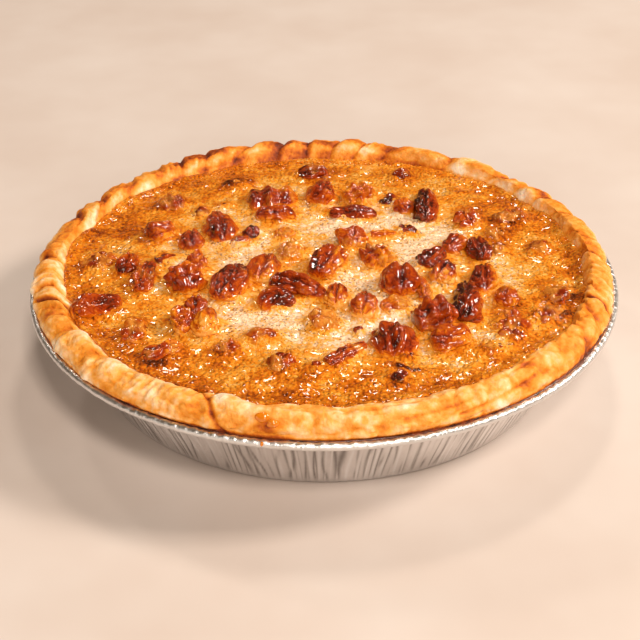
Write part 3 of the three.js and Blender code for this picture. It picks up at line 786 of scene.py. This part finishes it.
def pecan_rings(row, seed, rings, steps):
    """Rings of one nut in place, with its tone, which holds painted light and shade, and its custard
    film for each point. A ring's girth is the root of 1 less the square of its place along the nut,
    raised to the kind's bluntness, and times 1 plus the relief of ribs, groove, knobs and wrinkles."""
    kind, x, y, length, width, height, turn, tone, side, painted_light_strength, custard = row
    form = KINDS[kind]
    along = -np.cos(math.pi * (np.arange(rings) + 1) / (rings + 1))[:, None]
    round_it = np.arange(steps) / steps * TURN
    across, up = np.cos(round_it), np.sin(round_it)
    girth = np.sqrt(1 - along**2) ** form["blunt"]
    unit = np.stack(np.broadcast_arrays(along * length / 2, across * girth * width / 2,
                                        up * girth * height), -1)
    shifted = unit + seed * 37.0
    waver = 0.12 * noise(shifted, 4, seed)
    pinch = 1 - form["dip"] * np.cos(form["lobes"] * math.pi * along + seed)
    pinch = pinch - 0.05 * np.sin(3 * round_it + seed)
    upper = smooth_step(up * 3)
    sunk = form["groove"] * np.exp(-(((across + waver) / 0.13) ** 2)) * upper
    ribs = form["rib"] * np.cos(form["ribs"] * (round_it + waver) + 1.2 * along + seed)
    ribs = ribs * smooth_step(0.6 + noise(shifted, 0.5 * width, seed + 6))
    knobs = 0.2 * noise(shifted, 0.4 * width, seed + 1, 2)
    folds = np.abs(noise(shifted * np.array([0.35, 1, 1]), 0.26 * width, seed + 2, 2))
    wrinkles = 0.42 * folds**0.7 - 0.17
    relief = ribs - sunk + knobs + wrinkles
    size = FULLER * pinch * (1 + relief)
    half_height = max(0.75 * height, 0.4 * width)
    local = np.stack([
        along * length / 2 * (LONGER + 0.3 * knobs),
        across * girth * size * (1 - form["taper"] * along) * width / 2,
        up * girth * size * half_height + 0 * along], -1)
    turned = math.radians(turn)
    cos, sin = math.cos(turned), math.sin(turned)
    spin = np.array([[cos, sin, 0], [-sin, cos, 0], [0, 0, 1]])
    top = float(dome(x, y)) + height + HIGHER
    placed = local @ spin + np.array([x, y, top - half_height])
    # Painted light: the listed side of each nut is made lighter, and its relief is painted lighter where
    # it stands out and darker where it sinks.
    painted_light_way = np.array([math.cos(math.radians(side)), math.sin(math.radians(side))])
    offset = (placed[..., :2] - np.array([x, y])) @ painted_light_way / (0.5 * width)
    above = placed[..., 2] - dome(placed[..., 0], placed[..., 1])
    shade = tone + 0.8 * painted_light_strength * np.clip(offset, -1, 1) + 0.4 * np.clip(relief, -0.3, 0.3)
    shade = shade + 0.2 * noise(shifted, 0.35 * width, seed + 3, 2)
    # Painted shade: the creases of the folds are made darker.
    shade = shade - 0.22 * np.exp(-((folds / 0.07) ** 2))
    # The lower front is painted golden, as syrup at the foot and as painted light on the side towards the
    # front lamps.
    front_painted_light = 0.5 - 0.5 * (placed[..., 1] - y) / (0.5 * length)
    low = smooth_step(1.1 - above / (0.7 * height))
    shade = shade + (0.08 + 0.36 * front_painted_light) * low * smooth_step(tone * 4 - 0.7)
    film = smooth_step((1.5 - above) / 1.4 + 0.7 * noise(placed, 2.6, seed + 4, 2))
    cover = smooth_step(3 * custard - 1 + 1.5 * noise(placed, 4.5, seed + 5, 2))
    shade = np.maximum(shade, 0.5 * custard)
    return placed, np.clip(shade, 0, 1), np.maximum(film, cover * (custard > 0.12))


pecan_pieces = []
for number, row in enumerate(PECANS, start=1):
    rings, shade, film = pecan_rings(row, number, *NUT_GRID)
    name = f"pecan_{number:02d}"
    piece = ringed_piece(name + "_glazed", rings)
    paint(piece, tone=with_poles(shade), film=with_poles(film))
    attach(piece, "root")
    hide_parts(name)
    pecan_pieces.append(piece)
print("pecans:", len(pecan_pieces), "pieces of", len(pecan_pieces[0].data.polygons), "faces")

# %% [markdown]
# ### The smaller bits
# Chips and sunken lumps use the same formula with fewer rings, and are joined to one mesh,
# because none of them is large enough to be a part of its own.

# %% Bits of nut as one piece
def joined_rings(name, parts, fields):
    """One piece from several closed bodies: each body's faces are shifted past the points of the
    bodies before it."""
    points, faces, passed = [], [], 0
    for rings in parts:
        quads, triangles = closed_faces(len(rings), rings.shape[1])
        body = ringed_points(rings)
        points.append(body)
        faces += (quads + passed).tolist() + (triangles + passed).tolist()
        passed += len(body)
    piece = new_piece(name, np.concatenate(points), faces)
    return paint(piece, **{key: np.concatenate(values) for key, values in fields.items()})


made = [pecan_rings(row, 100 + number, *BIT_GRID) for number, row in enumerate(BITS)]
bits = joined_rings("pecan_bits", [rings for rings, _, _ in made], {
    "tone": [with_poles(shade) for _, shade, _ in made],
    "film": [with_poles(film) for _, _, film in made]})
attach(bits, "root")
print("bits:", len(bits.data.polygons), "faces")

# %% [markdown]
# ### Glazed pecan skin
# Roasted pecan under corn syrup. The skin is dry, wrinkled and red-brown, and the syrup over it is
# a thin, hard, glassy coat, so the eye gets a deep colour with many small sharp highlights. A clear
# coat over a rougher base does exactly that. The base's own gloss is weak and tinted like syrup, so
# that it adds no haze. Where custard has run over, the film number mixes in its golden colour.

# %% Pecan material
pecan, tree = new_material("glazed_pecan_skin")
where = add(tree, "TexCoord").outputs["Object"]
tone_value = add(tree, "Attribute", attribute_name="tone").outputs["Fac"]
film_value = add(tree, "Attribute", attribute_name="film").outputs["Fac"]
WRINKLE = 2.2
wrinkles = add(tree, "TexNoise", {"Vector": where, "Scale": 1 / (WRINKLE * MM), "Detail": 3.0,
                                  "Distortion": 1.2})
flecks = add(tree, "MapRange", {"Value": wrinkles.outputs["Fac"], "From Min": 0.25,
                                "From Max": 0.75, "To Min": -0.2, "To Max": 0.2})
tone = add(tree, "Math", {0: tone_value, 1: flecks.outputs[0]}, operation="ADD", use_clamp=True)
skin = add(tree, "ValToRGB", {"Fac": tone.outputs[0]}, stops=[
    (0.0, "#340B02"), (1.0, "#F6B45A"), (0.18, "#681B04"), (0.34, "#962E05"),
    (0.5, "#B24608"), (0.66, "#D26C0E"), (0.82, "#EA9420")])
filmed = add(tree, "ValToRGB", {"Fac": wrinkles.outputs["Fac"]},
             stops=[(0.3, "#B85B0F"), (0.7, "#E69E40")])
skin_mix = add(tree, "Mix", {0: film_value, 6: skin.outputs[0], 7: filmed.outputs[0]},
               data_type="RGBA")
crinkle = add(tree, "Bump", {"Height": wrinkles.outputs["Fac"], "Strength": 0.9,
                             "Distance": 1.0 * MM})
finish_with(tree, add(tree, "BsdfPrincipled", {
    "Base Color": skin_mix.outputs[2], "Roughness": 0.26, "IOR": 1.5,
    "Specular IOR Level": 0.1, "Specular Tint": linear("#FFD0A0"), "Coat Weight": 1.0,
    "Coat Roughness": 0.04, "Coat IOR": 1.52, "Normal": crinkle.outputs[0]}))
for piece in [*pecan_pieces, bits]:
    piece.data.materials.append(pecan)

# %% [markdown]
# ## The custard
# Eggs, sugar and syrup, set to a soft custard. It swells in the oven and sinks again, so its top
# is a low dome with a skin full of burst bubbles. It climbs a little up every nut and up the
# rope, and half covers the flat pieces. An even grid gives every square millimetre the same
# detail, which rings round a middle would not, so a square grid is bent to a disc.

# %% The custard's surface
GRID = 306
EDGE_REACH = 2.2


def square_to_disc(across, back):
    """Bends the square from -1 to 1 to a disc of the same even density: the larger coordinate is
    the radius, and the ratio of the two is an eighth of a turn either way."""
    wide = np.abs(across) > np.abs(back)
    larger = np.where(wide, across, back)
    smaller = np.where(wide, back, across)
    share = smaller / np.where(np.abs(larger) < 1e-12, 1, larger)
    turn = share * math.pi / 4
    return (np.where(wide, larger * np.cos(turn), larger * np.sin(turn)),
            np.where(wide, larger * np.sin(turn), larger * np.cos(turn)))


def custard_edge(angle):
    """How far the custard reaches: a little way under the rope's inner foot."""
    return rope_point(angle, np.ones_like(angle))[0] + EDGE_REACH


def nut_distance(x, y, row):
    """Distance from a nut's outline in millimetres, less than 0 inside it: the radius of the
    place in the nut's own oval, less one, times half of the nut's width."""
    _, nut_x, nut_y, length, width, _, turn = row[:7]
    turned = math.radians(turn)
    along = (x - nut_x) * math.cos(turned) + (y - nut_y) * math.sin(turned)
    across = (y - nut_y) * math.cos(turned) - (x - nut_x) * math.sin(turned)
    return (np.hypot(along / (length / 2), across / (width / 2)) - 1) * width / 2


def custard_relief(x, y):
    """Height over the dome: a meniscus at each nut that falls off over a millimetre or two, noise
    in four sizes, and a lip that climbs the rope except at the back, where the filling sank.
    Also how near the nearest nut is."""
    places = np.stack([x, y, 0 * x], -1)
    climb, nearest = 0 * x, 0 * x + 99
    for row in PECANS + BITS:
        away = nut_distance(x, y, row)
        climb = np.maximum(climb, np.exp(-np.maximum(away, 0) / 1.7))
        nearest = np.minimum(nearest, away)
    radius = np.hypot(x, y)
    angle = np.arctan2(y, x)
    reach = custard_edge(angle) - EDGE_REACH
    behind = np.maximum(0, np.sin(angle)) ** 2
    away = np.maximum(reach - radius, 0)
    lip = (1.3 - 1.3 * behind) * np.exp(-((away / 1.6) ** 1.5))
    swell = 0.6 * noise(places, 13, 51) + 0.5 * noise(places, 5.5, 52, 2)
    folds = 0.35 * (1 - 3 * np.abs(noise(places * [1, 1.5, 1], 7, 54, 2)))
    bubbly = smooth_step((radius - 62) / 38)
    fine = (0.24 + 0.26 * bubbly) * noise(places, 2.1, 53, 2)
    climb = climb * (1.7 + 1.1 * noise(places, 4, 55, 2))
    calm = 1 - 0.6 * behind * np.exp(-((away / 4) ** 2))
    return climb + lip + (swell + folds + fine) * calm, nearest


line = np.linspace(-1, 1, GRID)
across, back = np.meshgrid(line, line)
disc_x, disc_y = square_to_disc(across, back)
edge = custard_edge(np.arctan2(disc_y, disc_x))
x, y = disc_x * edge, disc_y * edge
relief, nearest = custard_relief(x, y)
surface = np.stack([x, y, dome(x, y) + relief], -1)
print("custard relief", relief.min().round(2), "to", relief.max().round(2), "mm")

# %% [markdown]
# ### Colour zones of the custard
# The middle stays creamy, because it is the last to get hot; towards the edge it turns golden and
# then amber, where the sugar caramelised near the hot crust. The zone number runs from 0 to 1
# across that change. Listed pools of cream and of gold, noise, and a darker ring round each nut,
# which is partly a syrup stain and partly painted contact shade, break it up.

# %% Zones of the custard
# x, y, reach
CREAM_POOLS = [
    (-45, 40, 16), (-20, 68, 10), (6, 30, 16), (30, 38, 12), (-35, 5, 12), (-5, 24, 14),
    (-70, -28, 14), (-25, -46, 16), (-5, -38, 14), (14, -14, 12), (38, -4, 10), (30, -48, 12),
    (22, -32, 10), (60, -58, 12), (-38, -32, 10), (40, 14, 14), (10, 5, 10), (-52, -4, 8),
    (12, -56, 14), (76, -8, 8), (50, 30, 12), (-42, -62, 12), (-12, -70, 13), (36, -72, 12),
    (-64, -54, 9),
]
GOLD_POOLS = [
    (-90, 28, 14), (-78, 42, 12), (-52, 68, 12), (-10, 72, 12), (62, 58, 12), (-14, -2, 9),
    (-62, -36, 10), (-45, -66, 12), (80, 20, 14), (90, -8, 12), (84, -34, 12), (-84, -16, 8),
    (30, 62, 10), (-33, 64, 8), (6, 14, 8), (-30, -14, 7), (66, -40, 8), (-14, 14, 7), (70, 44, 10),
]


def zone_of(x, y):
    """Creamy 0 to caramelised 1: a smooth rise with the radius, a slight one to the left and the
    front, noise in two sizes, and the named pools. Also the share of the way to the rope."""
    places = np.stack([x, y, 0 * x], -1)
    edge = rope_point(np.arctan2(y, x), np.ones_like(x))[0]
    share = np.hypot(x, y - 2) / edge
    zone = 0.24 + 0.21 * smooth_step((share - 0.5) / 0.42) - 0.06 * x / FILLING_RADIUS
    zone = zone + 0.03 * smooth_step((-y - 70) / 20)
    zone = zone + 0.18 * noise(places, 17, 61, 2) + 0.34 * noise(places, 6, 62, 3)
    zone = zone + 0.12 * smooth_step((share - 0.93) / 0.04)
    for pool_x, pool_y, size in CREAM_POOLS:
        zone = zone - 0.2 * np.exp(-(((x - pool_x) ** 2 + (y - pool_y) ** 2) / size**2))
    for pool_x, pool_y, size in GOLD_POOLS:
        zone = zone + 0.15 * np.exp(-(((x - pool_x) ** 2 + (y - pool_y) ** 2) / size**2))
    return zone, share


zone, share_out = zone_of(x, y)
patchy = noise(np.stack([x, y, 0 * x], -1), 6, 63, 2)
# Round each nut the custard is darker: a syrup stain, and painted contact shade.
stain_and_contact_shade = (0.28 + 0.36 * patchy) * np.exp(-np.maximum(nearest, 0) / 2.2)
zone = np.clip(zone + stain_and_contact_shade, 0, 1)
bubbly = smooth_step((share_out - 0.62) / 0.3)
print("zones from", zone.min().round(2), "to", zone.max().round(2))

# %% [markdown]
# ### Closing the custard
# The solid under this skin is a block down to the case's floor, and nothing below its top is in
# sight. So a skirt drops from the grid's border, which is one loop of points, about half of the way
# down, and its last ring closes on a point in the middle.

# %% Mesh of the custard
SKIRT_HEIGHT, SKIRT_FLOOR = 35, 20


def border_loop(size):
    """Numbers of the grid's border points, anticlockwise from the front left corner."""
    number = np.arange(size * size).reshape(size, size)
    return np.concatenate([number[0, :-1], number[:-1, -1], number[-1, :0:-1], number[:0:-1, 0]])


number = np.arange(GRID * GRID).reshape(GRID, GRID)
corners = [number[:-1, :-1], number[:-1, 1:], number[1:, 1:], number[1:, :-1]]
top_faces = np.stack(corners, -1).reshape(-1, 4)
loop = border_loop(GRID)
rim = surface.reshape(-1, 3)[loop]
skirt = np.concatenate([rim * [1, 1, 0] + [0, 0, SKIRT_HEIGHT],
                        rim * [0.9, 0.9, 0] + [0, 0, SKIRT_FLOOR]])
middle = np.array([[0, 0, float(SKIRT_FLOOR)]])
count, total = len(loop), GRID * GRID
first, second = total + np.arange(count), total + count + np.arange(count)
walls = [np.stack([np.roll(low, -1), np.roll(high, -1), high, low], -1)
         for high, low in ((loop, first), (first, second))]
floor_faces = np.stack([np.roll(second, -1), second, np.full(count, total + 2 * count)], -1)
faces = np.concatenate([top_faces, *walls]).tolist() + floor_faces.tolist()
custard = new_piece("custard_filling_baked", np.concatenate(
    [surface.reshape(-1, 3), skirt, middle]), faces)
rest = 2 * count + 1
paint(custard, zone=np.append(zone.ravel(), np.full(rest, 0.6)),
      bubbly=np.append(bubbly.ravel(), np.zeros(rest)))
print("custard:", len(custard.data.polygons), "faces")

# %% [markdown]
# ### Baked custard skin
# A set skin over soft custard, sticky with syrup. It is smooth but dimpled by bubbles a millimetre
# or two wide, most of all near the edge, and each dimple's rim catches the light. Burnt specks
# are pepper-fine, differ in size and come in drifts, most of them where the custard stayed pale.
# The ramp runs from cream over gold to amber and burnt brown, the bubbles are a Voronoi pattern used
# as bump, and a coat gives the syrup's shine.

# %% Custard material
custard_skin, tree = new_material("baked_custard_skin")
where = add(tree, "TexCoord").outputs["Object"]
zone_value = add(tree, "Attribute", attribute_name="zone").outputs["Fac"]
bubbly_value = add(tree, "Attribute", attribute_name="bubbly").outputs["Fac"]
BUBBLE, SPECK, BURST, CLOUD, CURD, RIPPLE = 1.6, 1.2, 3.6, 8.0, 1.1, 1.7
cloud = add(tree, "TexNoise", {"Vector": where, "Scale": 1 / (CLOUD * MM), "Detail": 3.0})
curd = add(tree, "TexNoise", {"Vector": where, "Scale": 1 / (CURD * MM), "Detail": 3.0})
ripple = add(tree, "TexNoise", {"Vector": where, "Scale": 1 / (RIPPLE * MM), "Detail": 2.0,
                                "Distortion": 0.8})
bubbles = add(tree, "TexVoronoi", {"Vector": where, "Scale": 1 / (BUBBLE * MM)})
specks = add(tree, "TexVoronoi", {"Vector": where, "Scale": 1 / (SPECK * MM)})
wobble = add(tree, "MapRange", {"Value": curd.outputs["Fac"], "From Min": 0.28, "From Max": 0.72,
                                "To Min": -0.18, "To Max": 0.18})
broad = add(tree, "MapRange", {"Value": ripple.outputs["Fac"], "From Min": 0.3, "From Max": 0.7,
                               "To Min": -0.15, "To Max": 0.15})
mottled = add(tree, "Math", {0: zone_value, 1: wobble.outputs[0]}, operation="ADD")
tone = add(tree, "Math", {0: mottled.outputs[0], 1: broad.outputs[0]}, operation="ADD",
           use_clamp=True)
custard_colour = add(tree, "ValToRGB", {"Fac": tone.outputs[0]}, stops=[
    (0.0, "#FFE0BC"), (1.0, "#4A1A03"), (0.09, "#EEBE8C"), (0.18, "#F4B868"),
    (0.34, "#EEA034"), (0.52, "#E08014"), (0.7, "#C25F08"), (0.86, "#8C3A04")])
bursts = add(tree, "TexVoronoi", {"Vector": where, "Scale": 1 / (BURST * MM)})
cloudy = add(tree, "MapRange", {"Value": cloud.outputs["Fac"], "From Min": 0.42,
                                "From Max": 0.66, "To Min": 0.14, "To Max": 0.38})
paler = add(tree, "MapRange", {"Value": zone_value, "From Min": 0.2, "From Max": 0.55,
                               "To Min": 1.1, "To Max": 0.65})
drift = add(tree, "Math", {0: cloudy.outputs[0], 1: paler.outputs[0]}, operation="MULTIPLY")
far_drift = add(tree, "Math", {0: drift.outputs[0], 1: 0.5}, operation="MULTIPLY")
own_size = add(tree, "MapRange", {"Value": specks.outputs["Color"], "From Min": 0.35,
                                  "From Max": 0.65, "To Min": 0.2, "To Max": 1.3})
near_drift = add(tree, "Math", {0: drift.outputs[0], 1: own_size.outputs[0]},
                 operation="MULTIPLY")
speck_mask = add(tree, "Math", {0: specks.outputs["Distance"], 1: near_drift.outputs[0]},
                 operation="LESS_THAN")
burst_mask = add(tree, "Math", {0: bursts.outputs["Distance"], 1: far_drift.outputs[0]},
                 operation="LESS_THAN")
either = add(tree, "Math", {0: speck_mask.outputs[0], 1: burst_mask.outputs[0]},
             operation="MAXIMUM")
speck_share = add(tree, "Math", {0: either.outputs[0], 1: 0.66}, operation="MULTIPLY")
colour = add(tree, "Mix", {0: speck_share.outputs[0], 6: custard_colour.outputs[0],
                           7: linear("#7A3A12")}, data_type="RGBA")
pit_height = add(tree, "MapRange", {"Value": bubbles.outputs["Distance"], "From Min": 0.1,
                                    "From Max": 0.6})
pit_share = add(tree, "MapRange", {"Value": bubbly_value, "To Min": 0.25, "To Max": 0.8})
pits = add(tree, "Math", {0: pit_height.outputs[0], 1: pit_share.outputs[0]},
           operation="MULTIPLY")
dimples = add(tree, "Bump", {"Height": pits.outputs[0], "Strength": 1.0, "Distance": 0.8 * MM})
curds = add(tree, "Bump", {"Height": ripple.outputs["Fac"], "Strength": 1.0,
                           "Distance": 1.2 * MM, "Normal": dimples.outputs[0]})
finish_with(tree, add(tree, "BsdfPrincipled", {
    "Base Color": colour.outputs[2], "Roughness": 0.3, "IOR": 1.45,
    "Specular IOR Level": 0.1, "Specular Tint": linear("#FFD8A8"), "Subsurface Weight": 0.1,
    "Subsurface Radius": (1.0, 0.5, 0.2), "Subsurface Scale": 1.5 * MM, "Coat Weight": 0.8,
    "Coat Roughness": 0.08, "Coat IOR": 1.48, "Normal": curds.outputs[0]}))
custard.data.materials.append(custard_skin)
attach(custard, "root")
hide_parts("custard_filling")

# %% [markdown]
# ## Syrup that boiled over
# Some syrup ran down between the rope and the tin's flange and burnt to a dark ring, a blob of two
# drops set on the front of the rope, a drip hangs on the rim, and tiny beads line the joint of
# custard and rope. Beads, blob and drip are rounded bodies from the same rings, joined to one piece.
# The ring is a thin tube round the flange; its dark colour also stands in as painted shade in the gap
# under the rope.

# %% Beads, blob and drip
def bead_rings(place, size, seed, rings=7, steps=10):
    """A squashed ball: a circle's girth along its height, with a little noise."""
    rise = -np.cos(math.pi * (np.arange(rings) + 1) / (rings + 1))[:, None]
    turn = np.arange(steps) / steps * TURN
    girth = np.sqrt(1 - rise**2)
    ball = np.stack([girth * np.cos(turn), girth * np.sin(turn), rise + 0 * turn], -1)
    ball = ball * (1 + 0.18 * noise(ball + seed, 0.9, seed)[..., None])
    return ball * np.array(size) + np.array(place)


def on_rope(degrees, share):
    """A point on the rope's own surface."""
    radius, height = rope_point(math.radians(degrees), np.array(share))
    angle = math.radians(degrees)
    return np.array([radius * math.cos(angle), radius * math.sin(angle), float(height)])


rng = np.random.default_rng(5)
beads = []
for degrees in np.arange(70, 172, 0.9):
    if rng.random() < 0.72:
        place = on_rope(degrees + rng.uniform(-0.4, 0.4), 1.0)
        inwards = 1 - 0.033 * math.sin(math.radians(degrees)) ** 2
        place = place * [inwards, inwards, 0] + [0, 0, FILLING_TOP + 0.4]
        size = rng.uniform(0.35, 0.8)
        beads.append(bead_rings(place, (size, size, 0.8 * size), len(beads)))
for degrees in np.arange(200, 330, 1.6):
    if rng.random() < 0.4:
        place = on_rope(degrees, 1.0) * [0.985, 0.985, 0] + [0, 0, FILLING_TOP + 0.8]
        size = rng.uniform(0.4, 0.8)
        beads.append(bead_rings(place, (size, size, 0.5 * size), len(beads)))
blob = [bead_rings(on_rope(259.2, 0.3) + [0, 0, 0.3], (2.7, 1.5, 1.8), 900, 20, 24),
        bead_rings(on_rope(261.2, 0.24) + [0, 0, 0.2], (2.2, 1.4, 1.5), 901, 20, 24)]
DRIP_DEGREES = 259.6
drip_out = np.array([math.cos(math.radians(DRIP_DEGREES)), math.sin(math.radians(DRIP_DEGREES)), 0])
drip = [bead_rings(drip_out * (RIM_RADIUS - 0.7) + [0, 0, 34.9], (0.9, 0.7, 1.0), 902, 14, 16)]
parts = beads + blob + drip
syrup = joined_rings("syrup_beads", parts, {})
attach(syrup, "root")

# %% Burnt ring
RING_RADIUS = 117.7


def ring_of_syrup():
    """A thin ring on the flange under the rope, dark as burnt syrup and as painted shade in the gap there:
    its width and height follow noise round it.
    """
    angle = np.arange(720) / 720 * TURN
    loop = np.stack([115 * np.cos(angle), 115 * np.sin(angle), 0 * angle], -1)
    wide = 0.6 + 0.35 * noise(loop, 9, 71, 2)
    wide = wide + 0.4 * smooth_step(1.4 - np.abs(angle - 4.95) / 0.7)
    tall = 0.5 + 0.25 * noise(loop, 5, 72, 2)
    turn = (np.arange(8) / 8 * TURN)[:, None]
    radius = RING_RADIUS - 0.4 * front_share(angle) + wide * np.cos(turn)
    height = RIM_HEIGHT - 0.5 + tall * np.sin(turn)
    return np.stack([radius * np.cos(angle), radius * np.sin(angle), height], -1)


tube = ring_of_syrup()
rows, steps = tube.shape[:2]
number = np.arange(rows * steps).reshape(rows, steps)
around, above = np.roll(number, -1, 1), np.roll(number, -1, 0)
tube_faces = np.stack([number, around, np.roll(around, -1, 0), above], -1).reshape(-1, 4)
# The ring is burnt syrup, and also painted shade in the gap under the rope.
burnt_ring_and_gap_shade = new_piece("burnt_syrup_and_gap_shade_ring", tube.reshape(-1, 3), tube_faces.tolist())
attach(burnt_ring_and_gap_shade, "root")

# %% [markdown]
# ### Set and burnt syrup
# Corn syrup that has set is like amber glass, smooth and very shiny. Its drops are too small to see
# through, so an orange base with a little light scattered under its skin stands in for glass, and a
# coat gives the shine. Burnt syrup is the same stuff gone opaque and black-brown, with less gloss;
# on the ring its dark brown is also painted shade for the gap between rope and flange.

# %% Syrup materials
syrup_glass, tree = new_material("set_corn_syrup")
finish_with(tree, add(tree, "BsdfPrincipled", {
    "Base Color": linear("#DA7C12"), "Roughness": 0.08, "IOR": 1.48,
    "Subsurface Weight": 0.15, "Subsurface Radius": (1.0, 0.4, 0.1), "Subsurface Scale": 1.5 * MM,
    "Coat Weight": 0.6, "Coat Roughness": 0.04}))
syrup.data.materials.append(syrup_glass)
burnt_syrup_and_gap_shade, tree = new_material("burnt_corn_syrup_and_gap_shade")
where = add(tree, "TexCoord").outputs["Object"]
CHAR = 2.5
char = add(tree, "TexNoise", {"Vector": where, "Scale": 1 / (CHAR * MM), "Detail": 3.0})
# Dark char colours: burnt syrup and painted shade in the gap.
char_colour = add(tree, "ValToRGB", {"Fac": char.outputs["Fac"]},
                  stops=[(0.35, "#2A0E07"), (0.65, "#7A3513")])
char_bump = add(tree, "Bump", {"Height": char.outputs["Fac"], "Strength": 0.5,
                               "Distance": 0.4 * MM})
finish_with(tree, add(tree, "BsdfPrincipled", {
    "Base Color": char_colour.outputs[0], "Roughness": 0.3, "IOR": 1.48,
    "Normal": char_bump.outputs[0]}))
burnt_ring_and_gap_shade.data.materials.append(burnt_syrup_and_gap_shade)

# %% [markdown]
# ## The table top
# The pie stands on a plain, pale, warm top, with no edge in view. A large plane is enough, just
# under the tin, and a soft wide noise keeps it from looking like paper.

# %% Floor
mesh = bpy.data.meshes.new("table_top")
HALF = 3.0
BELOW = -0.0003
mesh.from_pydata([(-HALF, -HALF, BELOW), (HALF, -HALF, BELOW), (HALF, HALF, BELOW),
                  (-HALF, HALF, BELOW)], [], [(0, 1, 2, 3)])
floor = bpy.data.objects.new("table_top", mesh)
bpy.context.scene.collection.objects.link(floor)
stone, tree = new_material("honed_pale_stone")
where = add(tree, "TexCoord").outputs["Object"]
VEIN = 90
vein = add(tree, "TexNoise", {"Vector": where, "Scale": 1 / (VEIN * MM), "Detail": 3.0,
                              "Roughness": 0.55})
stone_colour = add(tree, "ValToRGB", {"Fac": vein.outputs["Fac"]},
                   stops=[(0.35, "#D0C2BA"), (0.7, "#D8CDC7")])
finish_with(tree, add(tree, "BsdfPrincipled", {
    "Base Color": stone_colour.outputs[0], "Roughness": 0.75, "Specular IOR Level": 0.2}))
mesh.materials.append(stone)

# %% [markdown]
# ## Light
# A food picture needs light from the side, so that wet surfaces sparkle and the crust's relief
# shows. One softbox on the right is the key and throws the shadow to the left; one high in front
# lights the top, and a low one in front fills the tin's wall. A small one behind and a smaller one
# at the back left give the glaze its sparks, and a broad dim panel at the front left is there for
# the foil to reflect. All have the same warm white, or their highlights would look blue on brown nuts. The
# surroundings are dim and warm, because an even bright studio would lay a haze on every wet surface.

# %% Lights and surroundings
WARM_WHITE = "#FFF2E3"


def softbox(name, place, target, size, power):
    """A square area light that faces its target. Places are in millimetres and power in watts."""
    light = bpy.data.lights.new(name, "AREA")
    light.size = size * MM
    light.energy = power
    light.color = linear(WARM_WHITE)[:3]
    lamp = bpy.data.objects.new(name, light)
    bpy.context.scene.collection.objects.link(lamp)
    place, target = np.array(place, float), np.array(target, float)
    back = (place - target) / np.linalg.norm(place - target)
    right = np.cross([0, 0, 1], back)
    right /= np.linalg.norm(right)
    up = np.cross(back, right)
    turned = Matrix(np.stack([right, up, back], 1).tolist()).to_4x4()
    lamp.matrix_world = Matrix.Translation((place * MM).tolist()) @ turned


softbox("key_right", (1550, 100, 1250), (0, 0, 30), 420, 32.0)
softbox("front_top", (300, -1300, 1700), (0, 0, 30), 400, 26.0)
softbox("front_fill", (300, -2050, 800), (0, 0, 20), 600, 13.0)
softbox("back_sparkle", (150, 900, 1450), (0, 0, 30), 240, 6.5)
softbox("left_panel", (-1300, -1300, 500), (0, 0, 20), 900, 3.2)
softbox("side_glint", (-700, 900, 900), (0, 0, 40), 100, 2.0)
world = bpy.data.worlds.new("warm_dim_studio")
world.use_nodes = True
world.node_tree.nodes["Background"].inputs["Color"].default_value = linear("#FFDDB0")
world.node_tree.nodes["Background"].inputs["Strength"].default_value = 0.085
bpy.context.scene.world = world
bpy.context.scene.view_settings.view_transform = "Standard"

# %% [markdown]
# ## Camera
# The view is thirty degrees above the table with a short telephoto, which keeps the round rim
# from bulging. The lens and the distance were fitted to the outlines of the rim and the base. The
# frame is slightly off the lens axis, as in a cropped picture, and a small shift repeats that.

# %% Camera at the photograph's view
FOCAL_PIXELS = 1443.4
FRAME_PIXELS = 640
SENSOR = 36.0
PITCH = math.radians(29.793)
ROLL = math.radians(0.294)
DISTANCE = 601.6
OFF_AXIS = (4.1, 48.7)

camera = bpy.data.objects.new("camera", bpy.data.cameras.new("camera"))
bpy.context.scene.collection.objects.link(camera)
bpy.context.scene.camera = camera
camera.data.sensor_width = SENSOR
camera.data.lens = FOCAL_PIXELS / FRAME_PIXELS * SENSOR
camera.data.shift_x = -OFF_AXIS[0] / FRAME_PIXELS
camera.data.shift_y = -OFF_AXIS[1] / FRAME_PIXELS
camera.data.clip_start, camera.data.clip_end = 0.01, 20
back = np.array([0, -math.cos(PITCH), math.sin(PITCH)])
right = np.array([1.0, 0, 0])
up = np.cross(back, right)
turned_right = math.cos(ROLL) * right - math.sin(ROLL) * up
turned_up = math.sin(ROLL) * right + math.cos(ROLL) * up
place = back * DISTANCE + np.array([0, 0, RIM_HEIGHT])
axes = Matrix(np.stack([turned_right, turned_up, back], 1).tolist()).to_4x4()
camera.matrix_world = Matrix.Translation((place * MM).tolist()) @ axes
print("lens", round(camera.data.lens, 1), "mm")
